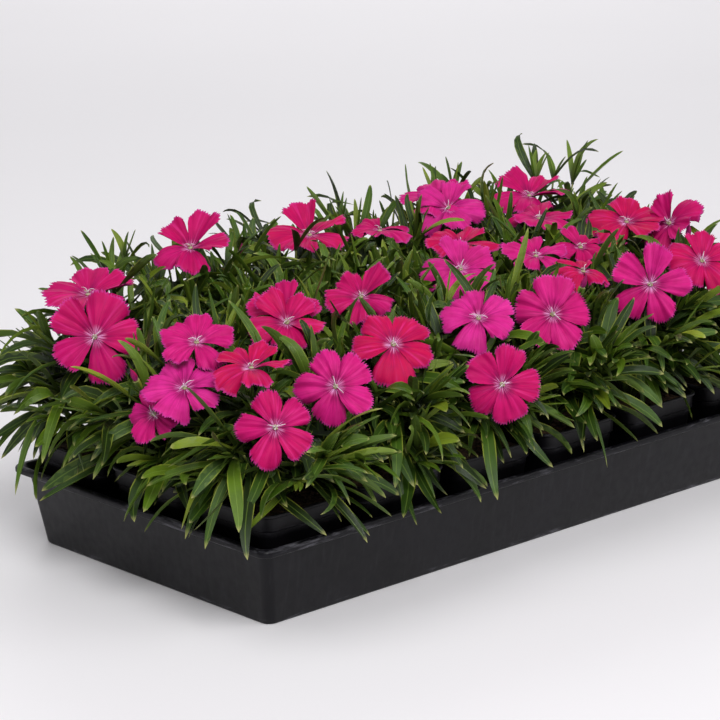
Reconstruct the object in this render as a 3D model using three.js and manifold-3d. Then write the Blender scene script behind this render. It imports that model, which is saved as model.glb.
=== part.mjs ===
// Flowering dianthus plants in a bedding tray.
//
// An open nursery tray holds an insert of 18 square cells, three across and six along. Each cell
// is filled with soil, and one plant is rooted in each. The leaves of the three plants in a row
// across the tray grow into each other and make one clump, which also carries the flower stalks.
// Every open flower is a corolla of five toothed petals that sits on its calyx.
//
// Millimetres, +Z up. The origin is the middle of the tray's flat underside.
// X runs along the tray and Y across it.

import * as THREE from 'three';
import { mergeVertices } from 'three/addons/utils/BufferGeometryUtils.js';
import Module from 'manifold-3d';

const wasm = await Module();
wasm.setup();

// ---------------------------------------------------------------- driving dimensions

const TRAY = {
  halfLength: 272.5,      // outer edge of the rim
  halfWidth: 139.5,
  height: 58.5,
  cornerRadius: 14,       // rim corner, seen from above
  leastRadius: 5,
  cornerTaper: 0.35,      // how fast the corners tighten where the walls lean in
  rimTop: 4.8,            // width of the rim's top face
  rimDepth: 5.4,          // height of the rim's outer face
  rimRound: 0.9,          // chamfer along the rim's outer edge
  wallInset: 7.4,         // outer wall under the rim, measured in from the rim's edge
  baseInset: 16,          // outer wall at the underside
  wall: 2,                // thickness of walls and floor
  cornerSteps: 4,
};

const CELL = {
  rows: 6,
  across: 3,
  pitch: 88.9,
  rimHalf: 40,            // outer edge of the rolled rim
  topHalf: 38.8,          // outer wall under the rim
  baseHalf: 29,           // outer wall at the bottom
  cornerRadius: 10,
  top: 77.5,
  base: 2.3,
  rimDepth: 2.6,
  wall: 1,
};

const BRIDGE = { width: 30, thickness: 1.4, top: 60, sink: 0.6 };

const SOIL = {
  top: 72,
  base: 4,
  clearance: 0.4,
  edgeDrop: 1.5,
  lumpsAt: 0.6,           // share of the half width where the top is uneven
  roughness: 2.2,
  holeRadius: 5.5,
  holeCorner: 0.6,        // corner radius of the hole over its half width
  holeDepth: 18,
};

const CANOPY = {
  top: 178,               // leaf level over the middle of the tray
  slope: 0.11,            // rise from the front side of the tray to the back
  skirt: 86,              // level where the leafy sides end
  flatX: 212,             // half size of the level part
  flatY: 80,
  edgeX: 84,              // width of the rounded edge round it
  edgeY: 78,
};

// A pair of numbers in square brackets is the range of a draw, unless its comment says otherwise.
const SHOOT = {
  ring: 4,                // shoots round each plant
  pairGap: 0.15,          // between the pairs of leaves, as a share of the shoot
  radius: 34,
  reach: [0.86, 1.08],    // of a shoot, over the radius
  turn: 0.35,             // sideways swing of a shoot, radians
  tipDrop: 22,            // shoot tips stay this far under the leaf level
  tipSwing: 8,
  bendOut: 0.6,           // where a shoot bends: share of its reach and of its rise
  bendUp: 0.45,
  outwardX: 1.5,          // outer plants spread over the rim of the tray
  outwardY: 1.45,
};

const LEAF = {
  lengths: [52, 60],      // one for each pair under a shoot's tip, from the tip down
  lengthRange: [0.88, 1.14],
  width: 9.2,
  widthRange: [0.85, 1.2],
  keel: 1.1,              // thickness at the midrib
  fold: 0.16,             // how far the edges stand above the midrib, over the half width
  spreads: [0.5, 1.0],    // angle from the stem, radians, one for each pair
  spreadSwing: 0.12,
  droops: [0.2, 0.46],    // fall of the tip over the length, one for each pair
  droopRange: [0.6, 1.5],
  turn: 0.3,              // sideways swing of a leaf round its stem, radians
  rootDepth: [0.5, 0.7],  // where its root lies in the core, over the core's radius
  rootHeight: [94, 120],
};

// A leaf in somebody's way is tried again, each time turned, closed up and straightened further.
const RETRY = { attempts: 11, turn: 0.42, close: 0.07, straighten: 0.06 };

// Low leaves that arch outward round each plant.
const SKIRT = {
  leaves: 5,
  height: 100,
  heightSwing: 6,
  radius: 10,
  turn: 0.7,
  length: 54,
  lengthRange: [0.85, 1.15],
  widthRange: [0.9, 1.2],
  lift: 0.5,              // slope at which they set out
  droop: 0.62,
  droopRange: [0.8, 1.2],
  rootDepth: 8,
  retry: { lift: 0.16, shorten: 0.03, straighten: 0.07 },
};

// Long leaves that reach from one plant deep into the next.
const LINK = { lean: 7, ahead: 12, lift: 8, step: 5, cross: 1.2, short: 20, rise: 6, droop: 0.06 };

// How far leaves hang out over the tray's rim, how low, and the room they leave to it.
const OVERHANG = { end: 52, side: 34, lowest: 50, gap: 3.5 };

// The room that leaves leave between rows, behind, beside and before a flower's face. Up to
// view before it nothing hides the flower.
const ROOM = { row: 0.5, behind: 6.5, beside: 4, before: 9, view: 42 };

const CORE = {
  crownRadius: 4.2,
  crownTop: 78,
  crownDepth: 17.5,       // of the crown under the soil's top
  radius: 17,
  widest: 98,
  shoulder: 0.8,          // radius at the shoulder over the widest
  shoulderDrop: 14,       // of the shoulder under the core's top
  topDrop: 40,            // of the core's top under the leaf level
  sides: 6,
  swell: 0.12,
  lump: 3,
};

const STALK = {
  radius: 1.3,
  rootShare: 0.42,        // its root lies this share of the way out to the flower
  rootReach: 11,          // and no further out than this
  neck: 14,               // it comes up straight behind the calyx over this length
  leastRise: 12,
  pull: 0.2,
  sunk: 2,                // how far it runs into the calyx
};

const CALYX = { length: 12, radius: 2.7, foot: 0.7, seatGap: 0.35 };

const BUD = { depth: 4, radius: 0.86, length: 9 };

const PETAL = {
  count: 5,
  centreDepth: 1.3,
  thickness: 0.45,
  notchRadius: 3.2,
  teeth: 3,
  lengthRange: [0.94, 1.04],
  turn: 0.05,
  raise: 3.2,             // how far a petal's rim stands up or hangs back, at most
  tilt: 2.4,              // how far one side of it stands above the other, at most
  half: 0.54,             // half its angle, radians
  halfSwing: 0.04,
  rimFall: 0.11,          // how much shorter it is at its sides
  toothDepth: 0.055,
  waist: 0.5,             // where its sides begin to run out to the rim
  waistWidth: 0.92,
  waistRise: 0.22,        // share of the rim's raise and tilt that is reached there
  ridge: 0.8,             // a petal's middle stands this far out of the face
  ridgeAt: 0.55,
  ridgeRise: 0.3,
};

// Turns about their own axis that keep the edges of calyx, bud tip and stalk apart, radians.
const CALYX_TURN = 0.37;
const BUD_TURN = 0.8;

const SEED = 20417;
const SLIVER = 0.03;      // edges shorter than this are closed up
const NUDGE = { tries: 6, step: 0.08 };

// ---------------------------------------------------------------- colours

const finish = (color, roughness) =>
  new THREE.MeshStandardMaterial({ color, roughness, metalness: 0 });
const TRAY_PLASTIC = 0x2f2e33;
const INSERT_PLASTIC = 0x1d1d20;
const PEAT = 0x3a2a1e;
const LEAF_GREEN = 0x4f7a32;
const PETAL_PINK = 0xd62a78;

// ---------------------------------------------------------------- flowers

// One line for each open flower: its plant as [row, place across], where the flower's centre lies
// from the middle of that plant, its height, its diameter, the height angle of its face, the
// angle of its face seen from above (degrees from +X) and the turn of its petals. Where a flower
// has a fold, the rims of its upper petals stand that far up out of its face.
const FLOWERS = [
  { plant: [0, 2], x: -20, y: -9, z: 190, size: 66, lift: 72, facing: -130, turn: 0, fold: 9 },
  { plant: [0, 1], x: -44, y: 42, z: 170, size: 67, lift: 28, facing: -134, turn: 18 },
  { plant: [1, 2], x: -9, y: -1, z: 206, size: 62, lift: 62, facing: -150, turn: 30, fold: 15 },
  { plant: [2, 2], x: 10, y: -10, z: 200, size: 66, lift: 66, facing: -128, turn: -20, fold: 9 },
  { plant: [0, 0], x: -25, y: 44, z: 179, size: 52, lift: 56, facing: -125, turn: 10 },
  { plant: [0, 0], x: -51, y: 26, z: 156, size: 56, lift: 48, facing: -138, turn: -20 },
  { plant: [0, 0], x: -20, y: -6, z: 170, size: 58, lift: 74, facing: -135, turn: 20 },
  { plant: [0, 1], x: -62, y: -43, z: 136, size: 46, lift: 30, facing: -165, turn: 40 },
  { plant: [0, 0], x: -33, y: -44, z: 139, size: 54, lift: 24, facing: -122, turn: -13 },
  { plant: [1, 0], x: -66, y: -41, z: 155, size: 55, lift: 22, facing: -130, turn: -20 },
  { plant: [1, 1], x: -35, y: -44, z: 184, size: 56, lift: 58, facing: -132, turn: -7,
    beside: { x: -9, y: -13, z: -2, size: 54, lift: 48, facing: -124, turn: 40 } },
  { plant: [3, 2], x: -20, y: -24, z: 196, size: 52, lift: 88, facing: -90, turn: 12 },
  { plant: [4, 2], x: -27, y: -3, z: 207, size: 60, lift: 70, facing: -170, turn: 24,
    beside: { x: -8, y: -20, z: -5, size: 56, lift: 44, facing: -128, turn: 20 } },
  { plant: [3, 1], x: 8, y: 6, z: 190, size: 58, lift: 78, facing: -120, turn: 36 },
  { plant: [3, 1], x: -38, y: -40, z: 186, size: 58, lift: 52, facing: -128, turn: -8 },
  { plant: [2, 0], x: -2, y: -22, z: 171, size: 58, lift: 52, facing: -130, turn: -15 },
  { plant: [1, 1], x: 36, y: -45, z: 184, size: 52, lift: 52, facing: -138, turn: -35 },
  { plant: [1, 0], x: 3, y: -24, z: 168, size: 60, lift: 42, facing: -126, turn: -30 },
  { plant: [2, 0], x: -17, y: -60, z: 133, size: 57, lift: 18, facing: -126, turn: 20 },
  { plant: [5, 2], x: -24, y: -14, z: 196, size: 64, lift: 76, facing: -118, turn: -20, fold: 7 },
  { plant: [4, 1], x: 24, y: 25, z: 191, size: 56, lift: 80, facing: -125, turn: 8 },
  { plant: [5, 1], x: -10, y: -17, z: 186, size: 62, lift: 64, facing: -132, turn: 2,
    beside: { x: 18, y: -28, z: 0, size: 54, lift: 40, facing: 175, turn: 30 } },
  { plant: [3, 0], x: 32, y: 40, z: 186, size: 54, lift: 76, facing: -105, turn: 14 },
  { plant: [4, 0], x: -6, y: 42, z: 184, size: 40, lift: 60, facing: -110, turn: 50 },
  { plant: [3, 0], x: -27, y: -33, z: 164, size: 57, lift: 26, facing: -130, turn: 5 },
  { plant: [4, 0], x: -8, y: -30, z: 167, size: 62, lift: 26, facing: -134, turn: 12 },
  { plant: [5, 0], x: -27, y: -20, z: 172, size: 54, lift: 46, facing: -128, turn: 0 },
  { plant: [3, 0], x: 35, y: -5, z: 181, size: 44, lift: 70, facing: -100, turn: 30 },
  { plant: [5, 0], x: 34, y: -50, z: 150, size: 56, lift: 30, facing: -70, turn: 12 },
  { plant: [5, 1], x: 56, y: 10, z: 158, size: 56, lift: 36, facing: 8, turn: -8 },
  { plant: [5, 2], x: 36, y: 36, z: 160, size: 54, lift: 46, facing: 42, turn: 26 },
  { plant: [4, 2], x: -14, y: 52, z: 154, size: 56, lift: 30, facing: 84, turn: 4 },
  { plant: [2, 2], x: -30, y: 54, z: 152, size: 54, lift: 34, facing: 96, turn: 40 },
  { plant: [0, 2], x: 32, y: 52, z: 150, size: 56, lift: 28, facing: 106, turn: -24 },
];

// Closed flower buds, in the same terms.
const BUDS = [
  { plant: [1, 2], x: 28, y: -15, z: 200, lift: 80, facing: -120 },
  { plant: [3, 0], x: 8, y: -31, z: 182, lift: 72, facing: -60 },
  { plant: [3, 1], x: 33, y: -17, z: 185, lift: 78, facing: 170 },
  { plant: [0, 1], x: -60, y: -20, z: 158, lift: 60, facing: -170 },
  { plant: [5, 0], x: 6, y: 22, z: 184, lift: 80, facing: 20 },
  { plant: [2, 2], x: -34, y: 20, z: 192, lift: 72, facing: 70 },
];

// ---------------------------------------------------------------- small helpers

const radians = THREE.MathUtils.degToRad;
const vector = (x, y, z) => new THREE.Vector3(x, y, z);

/** A repeatable draw between 0 and 1 for a list of whole numbers. */
function draw(...keys) {
  let hash = SEED;
  for (const key of keys) {
    hash = Math.imul(hash ^ (key + 0x9e37), 0x85ebca6b);
    hash ^= hash >>> 13;
    hash = Math.imul(hash, 0xc2b2ae35);
    hash ^= hash >>> 16;
  }
  return (hash >>> 0) / 2 ** 32;
}

/** A repeatable draw between -1 and 1. */
const swing = (...keys) => 2 * draw(...keys) - 1;

/** A repeatable draw within a range. */
const within = ([low, high], ...keys) => low + (high - low) * draw(...keys);

/** A closed solid as a manifold, its shared vertices merged. */
function toManifold(geometry) {
  geometry.deleteAttribute('normal');
  geometry.deleteAttribute('uv');
  const merged = mergeVertices(geometry, 1e-4);
  return new wasm.Manifold(new wasm.Mesh({
    numProp: 3,
    vertProperties: merged.attributes.position.array,
    triVerts: new Uint32Array(merged.index.array),
  }));
}

/** A manifold as three.js geometry. */
function toGeometry(manifold) {
  const mesh = manifold.getMesh();
  const geometry = new THREE.BufferGeometry();
  geometry.setAttribute('position', new THREE.BufferAttribute(mesh.vertProperties, 3));
  geometry.setIndex(new THREE.BufferAttribute(mesh.triVerts, 1));
  return geometry;
}

/** The largest piece of a manifold: loose scraps are dropped. */
function mainBody(manifold) {
  const pieces = manifold.decompose();
  return pieces.reduce((best, piece) => (piece.volume() > best.volume() ? piece : best));
}

/** Joins a list of solids into one. */
const fuse = (solids) => solids.reduce((joined, solid) => joined.add(solid));

/** True where no edge is shared by more than two faces, as where two blades just touch. */
function edgesAreSimple(geometry) {
  const { index } = mergeVertices(geometry, 1e-3);
  const uses = new Map();
  for (let k = 0; k < index.count; k++) {
    const from = index.getX(k);
    const to = index.getX(k % 3 === 2 ? k - 2 : k + 1);
    const edge = `${Math.min(from, to)},${Math.max(from, to)}`;
    uses.set(edge, (uses.get(edge) ?? 0) + 1);
  }
  return [...uses.values()].every((count) => count <= 2);
}

/** True where the boxes round two solids meet. */
function boxesMeet(first, second) {
  const [a, b] = [first.boundingBox(), second.boundingBox()];
  return [0, 1, 2].every((axis) => a.min[axis] < b.max[axis] && b.min[axis] < a.max[axis]);
}

/** Adds the blades one by one to the other solids, without those that only graze a neighbour. */
function withoutGrazing(solids, blades) {
  const kept = [...solids];
  for (const blade of blades) {
    const neighbours = kept.filter((solid) => boxesMeet(solid, blade));
    if (neighbours.every((solid) => edgesAreSimple(toGeometry(solid.add(blade))))) {
      kept.push(blade);
    }
  }
  return kept;
}

/** One body of fused solids, its slivers removed. */
const cleanBody = (solids) => toGeometry(mainBody(fuse(solids).simplify(SLIVER)));

/** One body of solids and the blades that grow from them, nudged until none just touch. */
function bladedBody(solids, blades) {
  let body;
  for (let nudge = 0; nudge < NUDGE.tries; nudge++) {
    const shift = (k, axis) => nudge * NUDGE.step * swing(k, axis, 19);
    const moved = blades.map((blade, k) => blade.translate([shift(k, 0), shift(k, 1), 0]));
    body = cleanBody(withoutGrazing(solids, moved));
    if (edgesAreSimple(body)) {
      return body;
    }
  }
  return body;
}

/** Geometry from points and faces, the faces seen counter-clockwise from outside. */
function fromFaces(points, faces) {
  const geometry = new THREE.BufferGeometry();
  const position = points.flatMap((point) => [point.x, point.y, point.z]);
  geometry.setAttribute('position', new THREE.Float32BufferAttribute(position, 3));
  geometry.setIndex(faces.flat());
  return geometry;
}

/** A solid through a stack of outlines with equally many points, closed at both ends. */
function loft(rings) {
  const count = rings[0].length;
  const points = rings.flat();
  const faces = [];
  for (let level = 0; level + 1 < rings.length; level++) {
    for (let k = 0; k < count; k++) {
      const next = (k + 1) % count;
      const [a, b] = [level * count + k, level * count + next];
      faces.push([a, b, b + count], [a, b + count, a + count]);
    }
  }
  const cap = (ring) => THREE.ShapeUtils.triangulateShape(
    ring.map((point) => new THREE.Vector2(point.x, point.y)), []);
  const last = (rings.length - 1) * count;
  cap(rings[0]).forEach(([a, b, c]) => faces.push([a, c, b]));
  cap(rings.at(-1)).forEach(([a, b, c]) => faces.push([last + a, last + b, last + c]));
  return fromFaces(points, faces);
}

/** A rounded rectangle at one height, counter-clockwise from above. */
function outline(halfX, halfY, radius, z, steps) {
  const points = [];
  for (let corner = 0; corner < 4; corner++) {
    const signX = corner === 0 || corner === 3 ? 1 : -1;
    const signY = corner < 2 ? 1 : -1;
    for (let step = 0; step <= steps; step++) {
      const angle = (corner + step / steps) * Math.PI / 2;
      points.push(vector(
        signX * (halfX - radius) + radius * Math.cos(angle),
        signY * (halfY - radius) + radius * Math.sin(angle), z));
    }
  }
  return points;
}

// ---------------------------------------------------------------- tray, insert and soil

/** The open tray with sloping walls and a turned-out rim. */
function trayGeometry() {
  const ring = (inset, z) => {
    const radius = Math.max(TRAY.cornerRadius - inset * TRAY.cornerTaper, TRAY.leastRadius);
    return outline(TRAY.halfLength - inset, TRAY.halfWidth - inset, radius, z, TRAY.cornerSteps);
  };
  const underRim = TRAY.height - TRAY.rimDepth;
  return loft([
    ring(TRAY.baseInset, 0),
    ring(TRAY.wallInset, underRim),
    ring(0, underRim),
    ring(0, TRAY.height - TRAY.rimRound),
    ring(TRAY.rimRound, TRAY.height),
    ring(TRAY.rimTop, TRAY.height),
    ring(TRAY.wallInset + TRAY.wall, underRim - TRAY.wall),
    ring(TRAY.baseInset + TRAY.wall, TRAY.wall),
  ]);
}

const plantX = (row) => (row - (CELL.rows - 1) / 2) * CELL.pitch;
const plantY = (place) => (place - (CELL.across - 1) / 2) * CELL.pitch;

/** Half size of a cell's outer wall at a height. */
function cellHalf(z) {
  const share = (z - CELL.base) / (CELL.top - CELL.rimDepth - CELL.base);
  return CELL.baseHalf + share * (CELL.topHalf - CELL.baseHalf);
}

/** One square cell with chamfered corners and a rolled rim. */
function cellGeometry() {
  const ring = (half, z) => outline(half, half, CELL.cornerRadius * half / CELL.rimHalf, z, 1);
  const underRim = CELL.top - CELL.rimDepth;
  return loft([
    ring(CELL.baseHalf, CELL.base),
    ring(CELL.topHalf, underRim),
    ring(CELL.rimHalf, underRim),
    ring(CELL.rimHalf, CELL.top),
    ring(CELL.topHalf - CELL.wall, CELL.top),
    ring(CELL.baseHalf - CELL.wall, CELL.base + CELL.wall),
  ]);
}

/** The insert: all cells, held together by a strip between each pair of neighbours. */
function insertGeometry() {
  const cell = toManifold(cellGeometry());
  const gap = CELL.pitch - 2 * cellHalf(BRIDGE.top) + 2 * BRIDGE.sink;
  const along = toManifold(new THREE.BoxGeometry(gap, BRIDGE.width, BRIDGE.thickness));
  const across = toManifold(new THREE.BoxGeometry(BRIDGE.width, gap, BRIDGE.thickness));
  const level = BRIDGE.top - BRIDGE.thickness / 2;
  const solids = [];
  for (let row = 0; row < CELL.rows; row++) {
    for (let place = 0; place < CELL.across; place++) {
      const [x, y] = [plantX(row), plantY(place)];
      solids.push(cell.translate([x, y, 0]));
      if (row + 1 < CELL.rows) {
        solids.push(along.translate([x + CELL.pitch / 2, y, level]));
      }
      if (place + 1 < CELL.across) {
        solids.push(across.translate([x, y + CELL.pitch / 2, level]));
      }
    }
  }
  return toGeometry(fuse(solids));
}

/** The soil in one cell, with an uneven top and a plain hole for the plant's crown. */
function soilGeometry(row, place) {
  const inner = (z) => cellHalf(z) - CELL.wall - SOIL.clearance;
  const edgeTop = SOIL.top - SOIL.edgeDrop;
  const ring = (half, z) => outline(half, half, CELL.cornerRadius * half / CELL.rimHalf, z, 1);
  const corner = SOIL.holeRadius * SOIL.holeCorner;
  const hole = (z) => outline(SOIL.holeRadius, SOIL.holeRadius, corner, z, 1);
  const middle = ring(inner(SOIL.top) * SOIL.lumpsAt, SOIL.top);
  middle.forEach((point, k) => {
    point.z += SOIL.roughness * swing(row, place, k, 1);
  });
  const rings = [
    ring(inner(SOIL.base), SOIL.base),
    ring(inner(edgeTop), edgeTop),
    middle,
    hole(SOIL.top),
    hole(SOIL.top - SOIL.holeDepth),
  ];
  return loft(rings).translate(plantX(row), plantY(place), 0);
}

// ---------------------------------------------------------------- the shape of the foliage

/** Leaf level over a point of the tray. */
function canopyHeight(x, y) {
  const beyondX = Math.max(0, Math.abs(x) - CANOPY.flatX) / CANOPY.edgeX;
  const beyondY = Math.max(0, Math.abs(y) - CANOPY.flatY) / CANOPY.edgeY;
  const fall = Math.sqrt(Math.max(0, 1 - beyondX ** 2 - beyondY ** 2));
  return CANOPY.skirt + (CANOPY.top - CANOPY.skirt + CANOPY.slope * y) * fall;
}

/** Spreads a step away from an outer plant further out over the tray's rim. */
function spreadOut(row, place, step) {
  const outX = (row === 0 && step.x < 0) || (row === CELL.rows - 1 && step.x > 0);
  const outY = (place === 0 && step.y < 0) || (place === CELL.across - 1 && step.y > 0);
  step.x *= outX ? SHOOT.outwardX : 1;
  step.y *= outY ? SHOOT.outwardY : 1;
  return step;
}

const faceDirection = ({ lift, facing }) => vector(
  Math.cos(radians(lift)) * Math.cos(radians(facing)),
  Math.cos(radians(lift)) * Math.sin(radians(facing)),
  Math.sin(radians(lift)));

const flowerCentre = ({ plant, x, y, z }) =>
  vector(plantX(plant[0]) + x, plantY(plant[1]) + y, z);

/** A flower's corolla with its centre and direction, and the one that grows through it, if any. */
function corollasOf(flower) {
  const centre = flowerCentre(flower);
  const first = { ...flower, centre, direction: faceDirection(flower) };
  if (!flower.beside) {
    return [first];
  }
  const { beside } = flower;
  const shifted = centre.clone().add(vector(beside.x, beside.y, beside.z));
  return [first, { ...beside, plant: flower.plant, centre: shifted,
    direction: faceDirection(beside) }];
}

const corollas = FLOWERS.flatMap(corollasOf);

/** The curve of one shoot, from the crown to its tip. */
function shootCurve(row, place, shoot) {
  const key = [row, place, shoot];
  const angle = 2 * Math.PI * (shoot + within([0, 0.5], row, place, 7)) / SHOOT.ring
    + SHOOT.turn * swing(...key, 2);
  const reach = SHOOT.radius * within(SHOOT.reach, ...key, 3);
  const step = spreadOut(row, place,
    vector(reach * Math.cos(angle), reach * Math.sin(angle), 0));
  const crown = vector(plantX(row), plantY(place), SOIL.top);
  const tip = crown.clone().add(step);
  tip.z = canopyHeight(tip.x, tip.y) - SHOOT.tipDrop + SHOOT.tipSwing * swing(...key, 4);
  const bend = crown.clone().addScaledVector(step, SHOOT.bendOut);
  bend.z += SHOOT.bendUp * (tip.z - crown.z);
  return new THREE.QuadraticBezierCurve3(crown, bend, tip);
}

// ---------------------------------------------------------------- leaves

// Where a blade is broken, along its length, and how wide it is there.
const STRAIGHT = [{ at: 0.48, width: 1 }];
const ARCHED = [{ at: 0.36, width: 0.92 }, { at: 0.74, width: 0.84 }];

// Where a blade is tested against what is round it.
const CLEAR_AT = [0.25, 0.45, 0.65, 0.85, 1];

/** A leaf's middle line: it leaves along a direction and droops. */
const leafPoint = (leaf, at) => leaf.start.clone()
  .addScaledVector(leaf.direction, leaf.length * at)
  .add(vector(0, 0, -leaf.droop * leaf.length * at * at));

/** True where a point keeps clear of the tray, the cells, the next row and every flower. */
function isClear(point, row, margin) {
  const pastEnd = Math.abs(point.x) - TRAY.halfLength;
  const pastSide = Math.abs(point.y) - TRAY.halfWidth;
  const overTray = pastEnd < OVERHANG.gap && pastSide < OVERHANG.gap;
  if (point.z < (overTray ? CELL.top + OVERHANG.gap : OVERHANG.lowest)) {
    return false;
  }
  if (pastEnd > OVERHANG.end || pastSide > OVERHANG.side) {
    return false;
  }
  const aside = point.x - plantX(row);
  const limit = CELL.pitch / 2 - ROOM.row - margin;
  if ((row > 0 && aside < -limit) || (row < CELL.rows - 1 && aside > limit)) {
    return false;
  }
  return corollas.every((flower) => {
    const away = point.clone().sub(flower.centre);
    const height = away.dot(flower.direction);
    const beside = away.addScaledVector(flower.direction, -height).length() - flower.size / 2;
    const near = height > -ROOM.behind - margin && beside < ROOM.beside + margin;
    const before = height >= ROOM.before;
    const hidesIt = before && height < ROOM.view && beside < -ROOM.beside;
    return !(hidesIt || (near && !before));
  });
}

/** Where a leaf's root lies: inside the core, on the side that faces the leaf. */
function leafRoot(row, place, leaf, key) {
  const crown = vector(plantX(row), plantY(place), 0);
  const step = leafPoint(leaf, CLEAR_AT[0]).sub(crown).setZ(0).normalize();
  const depth = CORE.radius * within(LEAF.rootDepth, ...key, 22);
  const root = spreadOut(row, place, step.multiplyScalar(depth)).add(crown);
  root.z = within(LEAF.rootHeight, ...key, 23);
  return root;
}

/** The first of a leaf's possible forms that is clear of everything, or null. */
function firstClear(row, formOf) {
  for (let attempt = 0; attempt < RETRY.attempts; attempt++) {
    const leaf = formOf(attempt);
    leaf.across = leaf.direction.clone().cross(vector(0, 0, 1)).normalize();
    if (CLEAR_AT.every((at) => isClear(leafPoint(leaf, at), row, leaf.width / 2))) {
      return leaf;
    }
  }
  return null;
}

/** One leaf of a shoot, turned and closed up step by step until it is clear. */
function shootLeaf(row, place, shoot, pair, side) {
  const curve = shootCurve(row, place, shoot);
  const key = [row, place, shoot, pair, side];
  const node = 1 - SHOOT.pairGap * pair;
  const start = curve.getPoint(node);
  const along = curve.getTangent(node);
  const levelSide = vector(-along.y, along.x, 0).normalize();
  const upSide = along.clone().cross(levelSide);
  const base = Math.PI * (side + 0.5 * pair) + Math.PI * draw(row, place, shoot, 5)
    + LEAF.turn * swing(...key, 6);
  const length = LEAF.lengths[pair] * within(LEAF.lengthRange, ...key, 8);
  const droop = LEAF.droops[pair] * within(LEAF.droopRange, ...key, 9);
  const width = LEAF.width * within(LEAF.widthRange, ...key, 11);
  return firstClear(row, (attempt) => {
    const turn = base + RETRY.turn * attempt * (attempt % 2 ? 1 : -1);
    const open = LEAF.spreads[pair] * (1 - RETRY.close * attempt)
      + LEAF.spreadSwing * swing(...key, 10);
    const direction = along.clone().multiplyScalar(Math.cos(open))
      .addScaledVector(levelSide, Math.sin(open) * Math.cos(turn))
      .addScaledVector(upSide, Math.sin(open) * Math.sin(turn));
    const leaf = { start, direction, length, width, stations: pair ? ARCHED : STRAIGHT,
      droop: droop * (1 - RETRY.straighten * attempt) };
    leaf.root = leafRoot(row, place, leaf, key);
    return leaf;
  });
}

/** One low leaf that arches outward, raised and shortened step by step until it is clear. */
function skirtLeaf(row, place, index) {
  const key = [row, place, index, 40];
  const angle = 2 * Math.PI * (index + SKIRT.turn * draw(...key, 1)) / SKIRT.leaves;
  const outward = spreadOut(row, place, vector(Math.cos(angle), Math.sin(angle), 0));
  const height = SKIRT.height + SKIRT.heightSwing * swing(...key, 2);
  const start = vector(plantX(row), plantY(place), height).addScaledVector(outward, SKIRT.radius);
  const width = LEAF.width * within(SKIRT.widthRange, ...key, 3);
  const length = SKIRT.length * within(SKIRT.lengthRange, ...key, 4) * outward.length() ** 0.5;
  const droop = SKIRT.droop * within(SKIRT.droopRange, ...key, 5) * outward.length();
  return firstClear(row, (attempt) => {
    const direction = outward.clone().normalize();
    direction.z = SKIRT.lift + SKIRT.retry.lift * attempt;
    const leaf = { start, direction: direction.normalize(), width, stations: ARCHED,
      length: length * (1 - SKIRT.retry.shorten * attempt),
      droop: droop * (1 - SKIRT.retry.straighten * attempt) };
    leaf.root = start.clone().addScaledVector(outward, -SKIRT.rootDepth);
    return leaf;
  });
}

/** A long leaf that reaches from one plant deep into the next one across the tray. */
function linkingLeaf(row, place, side) {
  const lean = side ? LINK.lean : -LINK.lean;
  const height = CORE.widest + LINK.lift - LINK.step * side;
  const start = vector(plantX(row) + lean, plantY(place) + LINK.ahead, height);
  const reach = vector(-LINK.cross * lean, CELL.pitch - LINK.short, LINK.rise);
  const direction = reach.clone().normalize();
  return { start, direction, length: reach.length(), droop: LINK.droop, width: LEAF.width,
    root: start.clone().addScaledVector(direction, -SKIRT.rootDepth), stations: STRAIGHT,
    across: direction.clone().cross(vector(0, 0, 1)).normalize() };
}

/** A keeled blade from a pointed root to a pointed tip. */
function leafGeometry(leaf) {
  const points = [leaf.root];
  for (const station of leaf.stations) {
    const middle = leafPoint(leaf, station.at);
    const ahead = leafPoint(leaf, station.at + 0.02).sub(middle).normalize();
    const normal = leaf.across.clone().cross(ahead).normalize();
    const half = leaf.width * station.width / 2;
    points.push(
      middle.clone().addScaledVector(leaf.across, half).addScaledVector(normal, LEAF.fold * half),
      middle.clone().addScaledVector(leaf.across, -half).addScaledVector(normal, LEAF.fold * half),
      middle.clone().addScaledVector(normal, -LEAF.keel * station.width ** 0.5));
  }
  points.push(leafPoint(leaf, 1));
  const tip = points.length - 1;
  const faces = [];
  for (let k = 0; k < 3; k++) {
    const next = (k + 1) % 3;
    faces.push([0, 1 + k, 1 + next], [tip, tip - 3 + next, tip - 3 + k]);
    for (let first = 1; first + 3 < tip; first += 3) {
      const [a, b] = [first + k, first + next];
      faces.push([a, b + 3, b], [a, a + 3, b + 3]);
    }
  }
  return fromFaces(points, faces);
}

// ---------------------------------------------------------------- plants

/** The dense inner mass of one plant, from its crown in the soil up to the shoots. */
function coreGeometry(row, place) {
  const [x, y] = [plantX(row), plantY(place)];
  const top = canopyHeight(x, y) - CORE.topDrop;
  const foot = SOIL.top - CORE.crownDepth;
  const profile = [
    [0, foot], [CORE.crownRadius, foot], [CORE.crownRadius, CORE.crownTop],
    [CORE.radius, CORE.widest], [CORE.radius * CORE.shoulder, top - CORE.shoulderDrop], [0, top],
  ].map(([radius, z]) => new THREE.Vector2(radius, z));
  const geometry = new THREE.LatheGeometry(profile, CORE.sides).rotateX(Math.PI / 2);
  geometry.deleteAttribute('normal');
  geometry.deleteAttribute('uv');
  const solid = mergeVertices(geometry, 1e-4);
  const position = solid.attributes.position;
  for (let k = 0; k < position.count; k++) {
    const step = vector(position.getX(k), position.getY(k), 0);
    let z = position.getZ(k);
    if (step.length() > 2 * CORE.crownRadius) {
      spreadOut(row, place, step).multiplyScalar(1 + CORE.swell * swing(row, place, k, 12));
      z += CORE.lump * swing(row, place, k, 13);
    }
    position.setXYZ(k, x + step.x, y + step.y, z);
  }
  return solid;
}

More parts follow.
